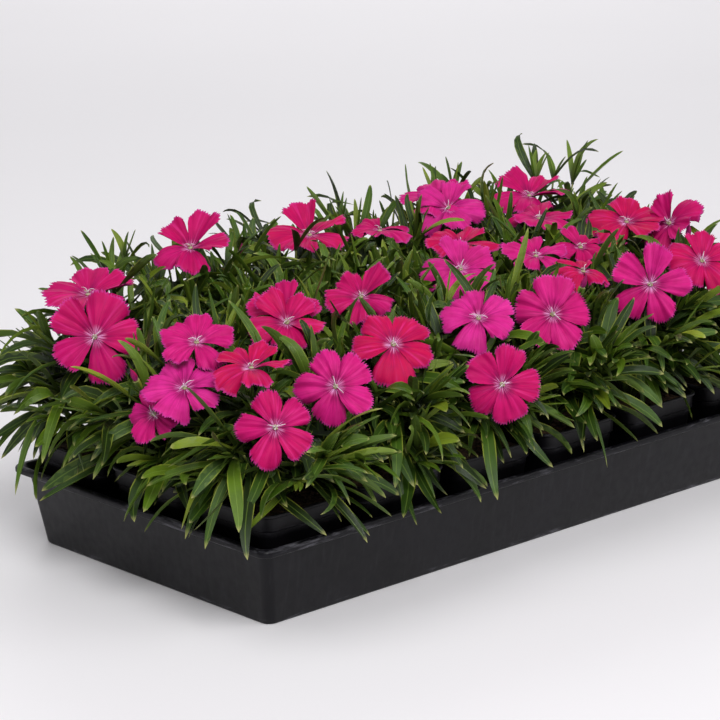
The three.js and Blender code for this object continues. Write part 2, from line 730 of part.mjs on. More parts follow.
/** A stalk that rises from the plant and turns to a flower or bud, with its calyx. */
function stalkSolids(plant, centre, direction, calyxDepth) {
  const [row, place] = plant;
  const calyxTop = centre.clone().addScaledVector(direction, -calyxDepth);
  const calyxFoot = calyxTop.clone().addScaledVector(direction, -CALYX.length);
  const outward = vector(centre.x - plantX(row), centre.y - plantY(place), 0);
  const root = vector(plantX(row), plantY(place), CORE.widest)
    .addScaledVector(outward, Math.min(STALK.rootShare, STALK.rootReach / outward.length()));
  const turn = calyxFoot.clone().addScaledVector(direction, -STALK.neck);
  turn.z = Math.max(turn.z, root.z + STALK.leastRise);
  turn.lerp(root, STALK.pull);
  const path = new THREE.QuadraticBezierCurve3(root, turn,
    calyxFoot.clone().addScaledVector(direction, STALK.sunk));
  const section = new THREE.Shape([0, 1, 2].map((k) => {
    const angle = 2 * Math.PI * k / 3;
    return new THREE.Vector2(STALK.radius * Math.cos(angle), STALK.radius * Math.sin(angle));
  }));
  const stalk = new THREE.ExtrudeGeometry(section, { steps: 2, extrudePath: path });
  const calyx = new THREE.CylinderGeometry(
    CALYX.radius, CALYX.radius * CALYX.foot, CALYX.length, 4).rotateY(CALYX_TURN);
  const middle = calyxTop.clone().add(calyxFoot).multiplyScalar(0.5);
  return [toManifold(stalk), toManifold(placedAlong(calyx, middle, direction))];
}

/** A shape made along +Y, laid along a direction with its middle at a point. */
function placedAlong(geometry, middle, direction) {
  const turn = new THREE.Quaternion().setFromUnitVectors(vector(0, 1, 0), direction);
  return geometry.applyQuaternion(turn).translate(middle.x, middle.y, middle.z);
}

/** The pointed tip of a closed bud on its calyx. */
function budTip(centre, direction) {
  const tip = new THREE.ConeGeometry(CALYX.radius * BUD.radius, BUD.length, 4).rotateY(BUD_TURN);
  return toManifold(placedAlong(tip, centre, direction));
}

/** The fused foliage, stalks and calyces of the plants in one row across the tray. */
function rowFoliage(row) {
  const solids = [];
  const leaves = [];
  for (let place = 0; place < CELL.across; place++) {
    solids.push(toManifold(coreGeometry(row, place)));
    if (place + 1 < CELL.across) {
      solids.push(...[0, 1].map((side) => toManifold(leafGeometry(linkingLeaf(row, place, side)))));
    }
    for (let shoot = 0; shoot < SHOOT.ring; shoot++) {
      for (let pair = 0; pair < LEAF.lengths.length; pair++) {
        for (let side = 0; side < 2; side++) {
          leaves.push(shootLeaf(row, place, shoot, pair, side));
        }
      }
    }
    for (let index = 0; index < SKIRT.leaves; index++) {
      leaves.push(skirtLeaf(row, place, index));
    }
  }
  for (const flower of corollas.filter(({ plant }) => plant[0] === row)) {
    const depth = PETAL.centreDepth + CALYX.seatGap;
    solids.push(...stalkSolids(flower.plant, flower.centre, flower.direction, depth));
  }
  for (const bud of BUDS.filter(({ plant }) => plant[0] === row)) {
    const centre = flowerCentre(bud);
    const direction = faceDirection(bud);
    solids.push(...stalkSolids(bud.plant, centre, direction, BUD.depth));
    solids.push(budTip(centre, direction));
  }
  const blades = leaves.filter((leaf) => leaf).map((leaf) => toManifold(leafGeometry(leaf)));
  return bladedBody(solids, blades);
}

// ---------------------------------------------------------------- corollas

/** Five toothed petals round a small centre, closed front and back, with a sharp margin. */
function corollaGeometry(flower, key) {
  const points = [
    vector(0, 0, PETAL.centreDepth),
    vector(0, 0, -PETAL.centreDepth),
  ];
  const faces = [];
  const addPoint = (distance, angle, z) =>
    points.push(vector(distance * Math.sin(angle), distance * Math.cos(angle), z)) - 1;
  const pitch = 2 * Math.PI / PETAL.count;
  const notches = [];
  for (let petal = 0; petal < PETAL.count; petal++) {
    const angle = radians(flower.turn) + pitch * (petal + 0.5);
    notches.push(addPoint(PETAL.notchRadius, angle, 0));
  }
  for (let petal = 0; petal < PETAL.count; petal++) {
    const middle = radians(flower.turn) + pitch * petal + PETAL.turn * swing(key, petal, 14);
    const length = flower.size / 2 * within(PETAL.lengthRange, key, petal, 15);
    const folded = (flower.fold ?? 0) * Math.max(0, Math.cos(middle));
    const raise = PETAL.raise * swing(key, petal, 16) + folded;
    const tilt = PETAL.tilt * swing(key, petal, 17);
    const half = PETAL.half + PETAL.halfSwing * swing(key, petal, 18);
    const waist = (side) => addPoint(length * PETAL.waist,
      middle + side * half * PETAL.waistWidth, PETAL.waistRise * (raise + side * tilt));
    const edge = [waist(-1)];
    const steps = 2 * PETAL.teeth - 2;
    for (let step = 0; step <= steps; step++) {
      const share = 2 * step / steps - 1;
      const tooth = step % 2 ? PETAL.toothDepth : 0;
      const reach = length * (1 - PETAL.rimFall * share * share - tooth);
      edge.push(addPoint(reach, middle + half * share, raise + tilt * share));
    }
    edge.push(waist(1));
    const before = notches[(petal + PETAL.count - 1) % PETAL.count];
    const after = notches[petal];
    const ridge = PETAL.ridge + PETAL.ridgeRise * raise;
    const front = addPoint(length * PETAL.ridgeAt, middle, ridge + PETAL.thickness);
    const back = addPoint(length * PETAL.ridgeAt, middle, ridge - PETAL.thickness);
    const frontLoop = [0, before, ...edge, after];
    const backLoop = [1, before, ...edge, after];
    for (let k = 0; k < frontLoop.length; k++) {
      const next = (k + 1) % frontLoop.length;
      faces.push([front, frontLoop[next], frontLoop[k]], [back, backLoop[k], backLoop[next]]);
    }
  }
  return fromFaces(points, faces);
}

/** A corolla at its place, its face turned to its direction. */
function placedCorolla(flower, key) {
  const frame = new THREE.Matrix4();
  const side = vector(0, 0, 1).cross(flower.direction).normalize();
  const upward = flower.direction.clone().cross(side);
  frame.makeBasis(side, upward, flower.direction).setPosition(flower.centre);
  return corollaGeometry(flower, key).applyMatrix4(frame);
}

/** One node for each flower, or for two flowers whose petals grow through each other. */
function bloomGeometry(flower, index) {
  const placed = corollasOf(flower).map((corolla, k) =>
    placedCorolla(corolla, index + k * FLOWERS.length));
  return placed.length > 1 ? cleanBody(placed.map(toManifold)) : placed[0];
}

// ---------------------------------------------------------------- the whole part

const part = new THREE.Group();

/** Adds one named piece to the part. */
function addPiece(name, geometry, material) {
  const mesh = new THREE.Mesh(geometry, material);
  mesh.name = name;
  part.add(mesh);
}

addPiece('tray', trayGeometry(), finish(TRAY_PLASTIC, 0.55));
addPiece('cell_insert', insertGeometry(), finish(INSERT_PLASTIC, 0.45));
for (let row = 0; row < CELL.rows; row++) {
  for (let place = 0; place < CELL.across; place++) {
    addPiece(`soil_${row + 1}${'abc'[place]}`, soilGeometry(row, place), finish(PEAT, 1));
  }
}
for (let row = 0; row < CELL.rows; row++) {
  addPiece(`foliage_row_${row + 1}`, rowFoliage(row), finish(LEAF_GREEN, 0.6));
}
FLOWERS.forEach((flower, index) => {
  const name = `bloom_${String(index + 1).padStart(2, '0')}`;
  addPiece(name, bloomGeometry(flower, index), finish(PETAL_PINK, 0.5));
});

export default part;
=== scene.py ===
"""Dianthus plants in a bedding tray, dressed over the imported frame.

Metres in Blender, millimetres in the tables below. The origin is the middle of the tray's flat
underside, X runs along the tray, Y across it and Z up.
"""

from __future__ import annotations

import logging
import math
from dataclasses import dataclass, field
from enum import Enum
from typing import ClassVar, Sequence

import bpy
import numpy as np
from mathutils import Matrix, Vector

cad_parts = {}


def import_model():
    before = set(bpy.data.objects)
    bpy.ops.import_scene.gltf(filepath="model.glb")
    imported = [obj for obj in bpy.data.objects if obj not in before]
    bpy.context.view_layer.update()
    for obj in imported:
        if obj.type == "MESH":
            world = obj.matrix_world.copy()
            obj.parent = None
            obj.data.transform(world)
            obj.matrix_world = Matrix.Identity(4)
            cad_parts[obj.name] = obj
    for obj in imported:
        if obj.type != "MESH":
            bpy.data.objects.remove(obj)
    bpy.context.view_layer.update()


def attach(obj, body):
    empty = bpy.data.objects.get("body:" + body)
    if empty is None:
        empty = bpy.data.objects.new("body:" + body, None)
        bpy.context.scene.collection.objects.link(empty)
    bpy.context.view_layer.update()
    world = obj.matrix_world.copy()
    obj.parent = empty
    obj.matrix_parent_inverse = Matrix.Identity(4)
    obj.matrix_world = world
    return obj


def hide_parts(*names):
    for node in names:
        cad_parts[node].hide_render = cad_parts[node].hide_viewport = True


LOG = logging.getLogger("dianthus")
MM = 0.001
BODY = "root"
SEED = 20417
FULL_TURN = 2 * math.pi
# A drawn turn goes from nothing to just under a full one, in radians.
ANY_TURN = 6.28
LEVEL = np.array([1.0, 1.0, 0.0])
UP = np.array([0.0, 0.0, 1.0])


# ------------------------------------------------------------------ repeatable draws and curves


def draw(*keys: int) -> float:
    """Gives a repeatable number for a list of whole numbers.

    Args:
        keys: whole numbers, none below zero. The last one tells apart the draws that belong to
            the same leaf, petal or crumb.

    Returns:
        A number from 0 up to 1.
    """
    value = SEED
    for key in keys:
        value = ((value ^ (key + 0x9E37)) * 0x85EBCA6B) & 0xFFFFFFFF
        value ^= value >> 13
        value = (value * 0xC2B2AE35) & 0xFFFFFFFF
        value ^= value >> 16
    return value / 2**32


def swing(*keys: int) -> float:
    """Gives a repeatable number between -1 and 1 for a list of whole numbers."""
    return 2 * draw(*keys) - 1


@dataclass(frozen=True)
class Range:
    """A value that varies from low up to low plus extra."""

    low: float
    extra: float

    def pick(self, *keys: int) -> float:
        """Picks a repeatable value for a list of whole numbers."""
        return self.low + self.extra * draw(*keys)


def unit(vector: np.ndarray) -> np.ndarray:
    """Scales each row of an array, or one vector, to length 1."""
    length = np.linalg.norm(vector, axis=-1, keepdims=True)
    return vector / np.maximum(length, 1e-9)


def smooth(low: float, high: float, value: np.ndarray | float) -> np.ndarray:
    """Rises smoothly from 0 at low to 1 at high."""
    share = np.clip((value - low) / (high - low), 0, 1)
    return share * share * (3 - 2 * share)


def arc(first: np.ndarray, bend: np.ndarray, last: np.ndarray,
        at: np.ndarray | float) -> np.ndarray:
    """Gives points on a curve with one bend.

    Args:
        first: where the curve starts.
        bend: the point that pulls it aside.
        last: where it ends.
        at: one share of the curve, or several.

    Returns:
        The point, or a row for each share.
    """
    share = np.asarray(at, dtype=float)[..., None]
    return first * (1 - share) ** 2 + bend * 2 * share * (1 - share) + last * share**2


# ------------------------------------------------------------------ the plan of the tray


@dataclass(frozen=True)
class Plan:
    """Sizes of the tray, its cells and the foliage over them, in millimetres."""

    half_length: float = 272.5
    half_width: float = 139.5
    rows: int = 6
    across: int = 3
    pitch: float = 88.9
    cell_top: float = 77.5
    soil_top: float = 72.0
    leaf_level: float = 178.0
    level_slope: float = 0.11
    skirt_level: float = 86.0
    flat: tuple[float, float] = (212.0, 80.0)
    edge: tuple[float, float] = (84.0, 78.0)
    overhang: tuple[float, float] = (52.0, 34.0)
    outer_stretch: tuple[float, float] = (1.5, 1.45)
    lowest_leaf: float = 50.0
    highest_leaf: float = 231.0

    def plant(self, row: int, place: int) -> np.ndarray:
        """Gives the middle of one plant at the soil."""
        return np.array([
            (row - (self.rows - 1) / 2) * self.pitch,
            (place - (self.across - 1) / 2) * self.pitch,
            self.soil_top,
        ])

    def canopy(self, x: float, y: float) -> float:
        """Gives the leaf level over a point of the tray."""
        beyond_x = max(0.0, abs(x) - self.flat[0]) / self.edge[0]
        beyond_y = max(0.0, abs(y) - self.flat[1]) / self.edge[1]
        fall = math.sqrt(max(0.0, 1 - beyond_x**2 - beyond_y**2))
        height = self.leaf_level - self.skirt_level + self.level_slope * y
        return self.skirt_level + height * fall

    def spread_out(self, row: int, place: int, step: np.ndarray) -> np.ndarray:
        """Spreads a step away from an outer plant further out over the rim.

        Args:
            row: the plant's row along the tray.
            place: the plant's place across it.
            step: the step from the plant's middle.

        Returns:
            The step, stretched where it leads outward.
        """
        out_x = (row == 0 and step[0] < 0) or (row == self.rows - 1 and step[0] > 0)
        out_y = (place == 0 and step[1] < 0) or (place == self.across - 1 and step[1] > 0)
        stretch_x, stretch_y = self.outer_stretch
        return step * np.array([stretch_x if out_x else 1.0, stretch_y if out_y else 1.0, 1.0])


PLAN = Plan()


class Tint(Enum):
    """Colour of an open flower, from the palest to the reddest."""

    PINK = 0.0
    ORCHID = 0.25
    MAGENTA = 0.5
    ROSE = 0.75
    CRIMSON = 1.0


@dataclass(frozen=True)
class Flower:
    """One open flower: its plant, its place from that plant's middle and how it faces.

    fold is how far its upper petals stand up out of the face, in millimetres at their rims.
    """

    plant: tuple[int, int]
    place: tuple[float, float, float]
    size: float
    lift: float
    facing: float
    turn: float
    tint: Tint = Tint.MAGENTA
    beside: bool = False
    fold: float = 0.0

    def centre(self) -> np.ndarray:
        """Gives the middle of the corolla."""
        foot = PLAN.plant(*self.plant)
        return np.array([foot[0] + self.place[0], foot[1] + self.place[1], self.place[2]])

    def direction(self) -> np.ndarray:
        """Gives the way the flower faces."""
        lift, facing = math.radians(self.lift), math.radians(self.facing)
        return np.array([
            math.cos(lift) * math.cos(facing),
            math.cos(lift) * math.sin(facing),
            math.sin(lift),
        ])


P, O, M, R, C = Tint

# A flower that is beside another grows through it, and shares its piece.
FLOWERS: tuple[Flower, ...] = (
    Flower((0, 2), (-20, -9, 190), 66, 82, -130, 0, M, fold=9),
    Flower((0, 1), (-44, 42, 170), 67, 28, -134, 18, M),
    Flower((1, 2), (-9, -1, 206), 62, 72, -150, 14, M, fold=15),
    Flower((2, 2), (10, -10, 200), 66, 76, -128, -20, R, fold=9),
    Flower((0, 0), (-25, 44, 179), 52, 66, -125, 10, O, fold=4),
    Flower((0, 0), (-51, 26, 156), 56, 58, -138, -20, P),
    Flower((0, 0), (-20, -6, 170), 58, 83, -135, 20, C, fold=3),
    Flower((0, 1), (-62, -43, 136), 46, 30, -165, 40, O),
    Flower((0, 0), (-33, -44, 139), 54, 24, -122, -13, M, fold=-4),
    Flower((1, 0), (-66, -41, 155), 55, 22, -130, -20, O),
    Flower((1, 1), (-35, -44, 184), 56, 68, -132, -7, M, fold=5),
    Flower((1, 1), (-44, -57, 182), 54, 58, -124, 40, R, True, 5),
    Flower((3, 2), (-20, -24, 196), 52, 88, -90, 12, M, fold=3),
    Flower((4, 2), (-27, -3, 207), 60, 80, -170, 24, O),
    Flower((4, 2), (-35, -23, 202), 56, 54, -128, 20, P, True),
    Flower((3, 1), (8, 6, 190), 58, 83, -120, 36, C),
    Flower((3, 1), (-38, -40, 186), 58, 62, -128, -8, P, fold=6),
    Flower((2, 0), (-2, -22, 171), 58, 62, -130, -15, P, fold=4),
    Flower((1, 1), (36, -45, 184), 52, 62, -138, -35, M, fold=4),
    Flower((1, 0), (3, -24, 168), 60, 52, -126, -30, C),
    Flower((2, 0), (-17, -60, 133), 57, 18, -126, 20, M),
    Flower((5, 2), (-24, -14, 196), 64, 83, -118, -20, M, fold=7),
    Flower((4, 1), (24, 25, 191), 56, 83, -125, 8, M),
    Flower((5, 1), (-10, -17, 186), 62, 74, -132, 2, C),
    Flower((5, 1), (8, -45, 186), 54, 40, 175, 30, M, True),
    Flower((3, 0), (32, 40, 186), 54, 83, -105, 14, O, fold=3),
    Flower((4, 0), (-6, 42, 184), 40, 70, -110, 50, M),
    Flower((3, 0), (-27, -33, 164), 57, 26, -130, 5, O, fold=-4),
    Flower((4, 0), (-8, -30, 167), 62, 26, -134, 12, O, fold=5),
    Flower((5, 0), (-27, -20, 172), 54, 56, -128, 0, R),
    Flower((3, 0), (35, -5, 181), 44, 80, -100, 30, C),
    Flower((5, 0), (34, -50, 150), 56, 30, -70, 12, M),
    Flower((5, 1), (56, 10, 158), 56, 36, 8, -8, M),
    Flower((5, 2), (36, 36, 160), 54, 56, 42, 26, P),
    Flower((4, 2), (-14, 52, 154), 56, 30, 84, 4, M),
    Flower((2, 2), (-30, 54, 152), 54, 34, 96, 40, C),
    Flower((0, 2), (32, 52, 150), 56, 28, 106, -24, M),
)

BUDS: tuple[Flower, ...] = (
    Flower((1, 2), (28, -15, 200), 0, 80, -120, 0),
    Flower((3, 0), (8, -31, 182), 0, 72, -60, 0, C),
    Flower((3, 1), (33, -17, 185), 0, 78, 170, 0),
    Flower((0, 1), (-60, -20, 158), 0, 60, -170, 0, C),
    Flower((5, 0), (6, 22, 184), 0, 80, 20, 0),
    Flower((2, 2), (-34, 20, 192), 0, 72, 70, 0),
)


# ------------------------------------------------------------------ leaves and where they grow


@dataclass(frozen=True)
class Blade:
    """One leaf: where it starts, where it leads and how it is bent, in millimetres.

    droop, sway and curl are shares of its length, and twist is in radians. fold is the slope of
    its halves up from the midrib. slim is 0 for a broad leaf with a blunt tip and 1 for a narrow
    leaf that tapers from below its middle. tone is the number that its material reads.
    """

    start: np.ndarray
    direction: np.ndarray
    length: float
    width: float
    droop: float
    sway: float = 0.0
    twist: float = 0.0
    tone: float = 0.5
    fold: float = 0.25
    slim: float = 0.0
    curl: float = 0.0

    def point(self, at: np.ndarray | float) -> np.ndarray:
        """Gives the middle line, which hooks down most near the tip and curls aside there.

        Args:
            at: one share of the length, or several.

        Returns:
            The point or points, in millimetres.
        """
        share = np.asarray(at, dtype=float)[..., None]
        down = np.array([0.0, 0.0, -self.droop * self.length])
        aside = self.across() * self.length * (self.sway * share**2 + self.curl * share**5)
        hooked = 0.4 * share**2 + 0.6 * share**3
        back = self.direction * self.length * abs(self.curl) * 0.5 * share**6
        return self.start + self.direction * self.length * share + down * hooked + aside - back

    def across(self) -> np.ndarray:
        """Gives the level direction across the blade."""
        return unit(np.cross(self.direction, UP))


@dataclass
class Clearance:
    """The room that leaves keep to the tray, to the next row and to every flower.

    From face_back behind a corolla to face_front before it, leaves keep face_margin off its rim.
    Further out, up to view_depth, none crosses in front of its middle.
    """

    centres: np.ndarray = field(default_factory=lambda: np.array([f.centre() for f in FLOWERS]))
    faces: np.ndarray = field(default_factory=lambda: np.array([f.direction() for f in FLOWERS]))
    radii: np.ndarray = field(default_factory=lambda: np.array([f.size / 2 for f in FLOWERS]))
    tray_gap: float = 3.5
    row_gap: float = 0.5
    face_margin: float = 4.0
    face_back: float = 6.5
    face_front: float = 9.0
    view_depth: float = 42.0
    probes: tuple[float, ...] = (0.25, 0.45, 0.65, 0.85, 1.0)

    def allows(self, blade: Blade, row: int, reach: float) -> bool:
        """Tells whether a blade is clear of everything.

        Args:
            blade: the leaf that is tried.
            row: its row along the tray.
            reach: how far past its row's edge a leaf may reach.

        Returns:
            True where every probed point of the blade is free.
        """
        points = blade.point(np.array(self.probes))
        margin = blade.width / 2
        past_end = np.abs(points[:, 0]) - PLAN.half_length
        past_side = np.abs(points[:, 1]) - PLAN.half_width
        over = (past_end < self.tray_gap) & (past_side < self.tray_gap)
        floor = np.where(over, PLAN.cell_top + self.tray_gap, PLAN.lowest_leaf)
        if (points[:, 2] < floor).any() or (points[:, 2] > PLAN.highest_leaf).any():
            return False
        if (past_end > PLAN.overhang[0]).any() or (past_side > PLAN.overhang[1]).any():
            return False
        aside = points[:, 0] - PLAN.plant(row, 0)[0]
        limit = PLAN.pitch / 2 - self.row_gap - margin + reach
        if (row > 0 and (aside < -limit).any()) or (
                row < PLAN.rows - 1 and (aside > limit).any()):
            return False
        away = points[:, None, :] - self.centres[None]
        height = (away * self.faces[None]).sum(axis=2)
        flat = away - self.faces[None] * height[..., None]
        beside = np.linalg.norm(flat, axis=2) - self.radii[None]
        near = (height > -self.face_back - margin) & (height < self.face_front)
        before = (height >= self.face_front) & (height < self.view_depth)
        crosses = (near & (beside < self.face_margin + margin)
                   | before & (beside < -self.face_margin))
        return not crosses.any()


# Shoots that stand up over the back edge: row, step along the tray from the row's middle and
# height of the tip.
TALL_SHOOTS = (
    (0, 38, 201), (1, -30, 197), (1, -5, 190), (2, -4, 186), (3, 38, 193), (4, -4, 195),
    (4, 15, 197), (5, 20, 193), (5, 42, 194), (5, 66, 188),
)


class Stand(Enum):
    """How a shoot stands in its plant."""

    RING = "one of the four main shoots"
    FILL = "a thinner shoot between them"
    LOW = "a side shoot that leans out over the rim"
    TALL = "a shoot that stands up over the back edge"


@dataclass(frozen=True)
class Shoot:
    """One leafy shoot: a curve from the crown up to the leaf level.

    The main shoots are numbered from 0, the low ones from first_low and the tall ones from
    first_tall. A drop is how far a tip stays below the leaf level. A bow is the height of the
    bend, as a share of the shoot's height.
    """

    row: int
    place: int
    index: int
    stand: Stand = Stand.RING
    ring: int = 4
    lows: int = 9
    first_low: int = 40
    first_tall: int = 60
    radius: float = 34.0
    ring_turn: float = 0.5
    ring_sway: float = 0.35
    ring_shares: Range = Range(0.86, 0.22)
    ring_drop: float = 22.0
    ring_drop_swing: float = 8.0
    fill_turn: float = 2.4
    fill_sway: float = 0.5
    fill_shares: Range = Range(0.15, 0.95)
    fill_drop: float = 28.0
    fill_rise: float = 20.0
    back_rise: float = 19.0
    low_turn: float = 0.8
    low_shares: Range = Range(0.8, 0.5)
    low_heights: Range = Range(14.0, 34.0)
    low_bow: float = 0.8
    bow: float = 0.45
    bend_share: float = 0.6
    tall_step: float = 22.0
    tall_bend: tuple[float, float, float] = (0.55, 0.6, 0.5)
    outward: float = 1.12

    def seat(self) -> tuple[float, float, float]:
        """Places the shoot in its plant.

        Returns:
            Its angle, its share of the radius and the drop of its tip.
        """
        key = (self.row, self.place, self.index)
        if self.stand is Stand.FILL:
            rise = self.fill_rise * draw(*key, 4)
            if self.place == PLAN.across - 1:
                rise += self.back_rise * draw(*key, 8)
            # The power sets more of these shoots near the edge of the plant than in its middle.
            share = self.fill_shares.low + self.fill_shares.extra * draw(*key, 3) ** 0.6
            angle = self.fill_turn * self.index + self.fill_sway * swing(*key, 2)
            return angle, share, self.fill_drop - rise
        if self.stand is Stand.LOW:
            angle = FULL_TURN * (self.index + self.low_turn * draw(*key, 2)) / self.lows
            return angle, self.low_shares.pick(*key, 3), 0.0
        angle = FULL_TURN * (self.index + self.ring_turn * draw(*key[:2], 7)) / self.ring
        angle += self.ring_sway * swing(*key, 2)
        drop = self.ring_drop - self.ring_drop_swing * swing(*key, 4)
        return angle, self.ring_shares.pick(*key, 3), drop

    def ends(self) -> tuple[np.ndarray, np.ndarray, np.ndarray]:
        """Lays out the shoot's curve.

        Returns:
            The crown, the bend and the tip.
        """
        crown = PLAN.plant(self.row, self.place)
        if self.stand is Stand.TALL:
            _, aside, height = TALL_SHOOTS[self.index - self.first_tall]
            tip = crown + (aside, self.tall_step, height - crown[2])
            return crown, crown + (tip - crown) * self.tall_bend, tip
        angle, share, drop = self.seat()
        reach = self.radius * share
        step = PLAN.spread_out(self.row, self.place, np.array(
            [reach * math.cos(angle), reach * math.sin(angle), 0.0]))
        tip, bend = crown + step, crown + step * self.bend_share
        is_low = self.stand is Stand.LOW
        if is_low:
            height = self.low_heights.pick(self.row, self.place, self.index, 4)
            tip[2] = PLAN.cell_top + height
        else:
            tip[2] = PLAN.canopy(tip[0], tip[1]) - drop
        bend[2] += (self.low_bow if is_low else self.bow) * (tip[2] - crown[2])
        return crown, bend, tip

    def is_wanted(self) -> bool:
        """Tells whether the shoot shows; the low ones grow only out over the rim."""
        crown, _, tip = self.ends()
        is_out = math.hypot(*(tip - crown)[:2]) > self.radius * self.outward
        return self.stand is not Stand.LOW or is_out

    def point(self, at: float) -> np.ndarray:
        """Gives the point at one share of the curve."""
        return arc(*self.ends(), at)

    def tangent(self, at: float) -> np.ndarray:
        """Gives the direction of the curve at one share of it."""
        crown, bend, tip = self.ends()
        return unit((bend - crown) * (1 - at) + (tip - bend) * at)


@dataclass(frozen=True)
class Pair:
    """One pair of leaves on a shoot.

    node is its share of the shoot's length, spread its angle to the shoot in radians, and droop
    how far its tips hang, as a share of their length. tone is low for aged leaves deep in the
    plant, whose colour paints their shade.
    """

    node: float
    length: float
    spread: float
    droop: float
    tone: float


# The pairs of a shoot, from its tip downward.
PAIRS = (
    Pair(1.0, 50.0, 0.62, 0.2, 1.0),
    Pair(0.85, 60.0, 1.08, 0.4, 1.0),
    Pair(0.74, 62.0, 1.15, 0.36, 0.75),
    Pair(0.63, 58.0, 1.18, 0.34, 0.4),
    Pair(0.52, 52.0, 1.2, 0.3, 0.2),
)
LEAF_WIDTH = 9.0
# A leaf that has no room is turned and closed up this many times before it is left out.
ATTEMPTS = 11
# How small the leaves of the thinner shoots are beside those of the main ones.
SMALL = {Stand.FILL: 0.92, Stand.LOW: 0.92, Stand.TALL: 0.9}


@dataclass(frozen=True)
class PairLeaves:
    """The leaves along a shoot, in crossed pairs; those high in the plant are slimmer."""

    lengths: Range = Range(0.86, 0.42)
    widths: Range = Range(0.82, 0.35)
    smalls: Range = Range(0.82, 0.3)
    droops: Range = Range(0.3, 1.6)
    folds: Range = Range(0.12, 0.4)
    slims: Range = Range(0.5, 0.5)
    slim_heights: tuple[float, float] = (118.0, 160.0)
    slim_longer: float = 0.12
    slim_narrower: float = 0.4
    sway: float = 0.38
    twist: float = 1.7
    curl: float = 0.5
    low_close: float = 0.74
    spread_swing: float = 0.2
    turn_swing: float = 0.3
    turn_step: float = 0.42
    close_step: float = 0.07
    lift_step: float = 0.06
    kept_in: int = 2
    reach: float = 9.0

    def grow(self, shoot: Shoot, number: int, side: int, clear: Clearance) -> Blade | None:
        """Grows one leaf, turned and closed up step by step until it is clear.

        Args:
            shoot: the shoot that carries it.
            number: its pair, counted from the tip down.
            side: 0 or 1 within the pair.
            clear: what it keeps clear of.

        Returns:
            The leaf, or None where there is no room for it.
        """
        key = (shoot.row, shoot.place, shoot.index, number, side)
        pair = PAIRS[number]
        start, along = shoot.point(pair.node), shoot.tangent(pair.node)
        level = unit(np.array([-along[1], along[0], 0.0]))
        upward = np.cross(along, level)
        base = math.pi * (side + 0.5 * number) + math.pi * draw(*key[:3], 5)
        base += self.turn_swing * swing(*key, 6)
        slim = float(smooth(*self.slim_heights, start[2])) * self.slims.pick(*key, 33)
        length = pair.length * self.lengths.pick(*key, 8) * (1 + self.slim_longer * slim)
        width = LEAF_WIDTH * self.widths.pick(*key, 11) * (1 - self.slim_narrower * slim)
        if shoot.stand is not Stand.RING:
            small = SMALL[shoot.stand] * self.smalls.pick(*key, 34)
            length, width = length * small, width * (0.4 + 0.6 * small)
        droop = pair.droop * self.droops.pick(*key, 9)
        sway, twist = self.sway * swing(*key, 30), self.twist * swing(*key, 31)
        curl = self.curl * swing(*key, 36) ** 3 * (0.5 + slim)
        tone, fold = pair.tone * draw(*key, 32), self.folds.pick(*key, 35)
        spread = pair.spread * (self.low_close if shoot.stand is Stand.LOW else 1.0)
        stays_in = shoot.stand is Stand.RING and number < self.kept_in
        for attempt in range(ATTEMPTS):
            turn = base + self.turn_step * attempt * (1 if attempt % 2 else -1)
            open_by = spread * (1 - self.close_step * attempt) + self.spread_swing * swing(*key, 10)
            direction = (along * math.cos(open_by) + level * math.sin(open_by) * math.cos(turn)
                         + upward * math.sin(open_by) * math.sin(turn))
            blade = Blade(start, direction, length, width, droop * (1 - self.lift_step * attempt),
                          sway, twist, tone, fold, slim, curl)
            if clear.allows(blade, shoot.row, 0.0 if stays_in else self.reach):
                return blade
        return None


@dataclass(frozen=True)
class TipLeaves:
    """The narrow young leaves at a shoot's tip."""

    count: int = 4
    node: float = 0.985
    leans: Range = Range(0.16, 0.2)
    lengths: Range = Range(24.0, 21.0)
    widths: Range = Range(0.36, 0.2)
    tones: Range = Range(0.5, 0.45)
    droop: float = 0.1
    sway: float = 0.3
    twist: float = 0.8
    fold: float = 0.35
    reach: float = 9.0

    def grow(self, shoot: Shoot, index: int, clear: Clearance) -> Blade | None:
        """Grows one of them.

        Args:
            shoot: the shoot that carries it.
            index: its number.
            clear: what it keeps clear of.

        Returns:
            The leaf, or None where there is no room for it.
        """
        key = (shoot.row, shoot.place, shoot.index, 50, index)
        angle = FULL_TURN * (index + 0.6 * draw(*key, 1)) / self.count
        aside = np.array([math.cos(angle), math.sin(angle), 0.0])
        direction = unit(shoot.tangent(1.0) + aside * self.leans.pick(*key, 2))
        blade = Blade(shoot.point(self.node), direction, self.lengths.pick(*key, 3),
                      LEAF_WIDTH * self.widths.pick(*key, 4), self.droop,
                      self.sway * swing(*key, 5), self.twist * swing(*key, 6),
                      self.tones.pick(*key, 7), self.fold, slim=1.0)
        return blade if clear.allows(blade, shoot.row, self.reach) else None


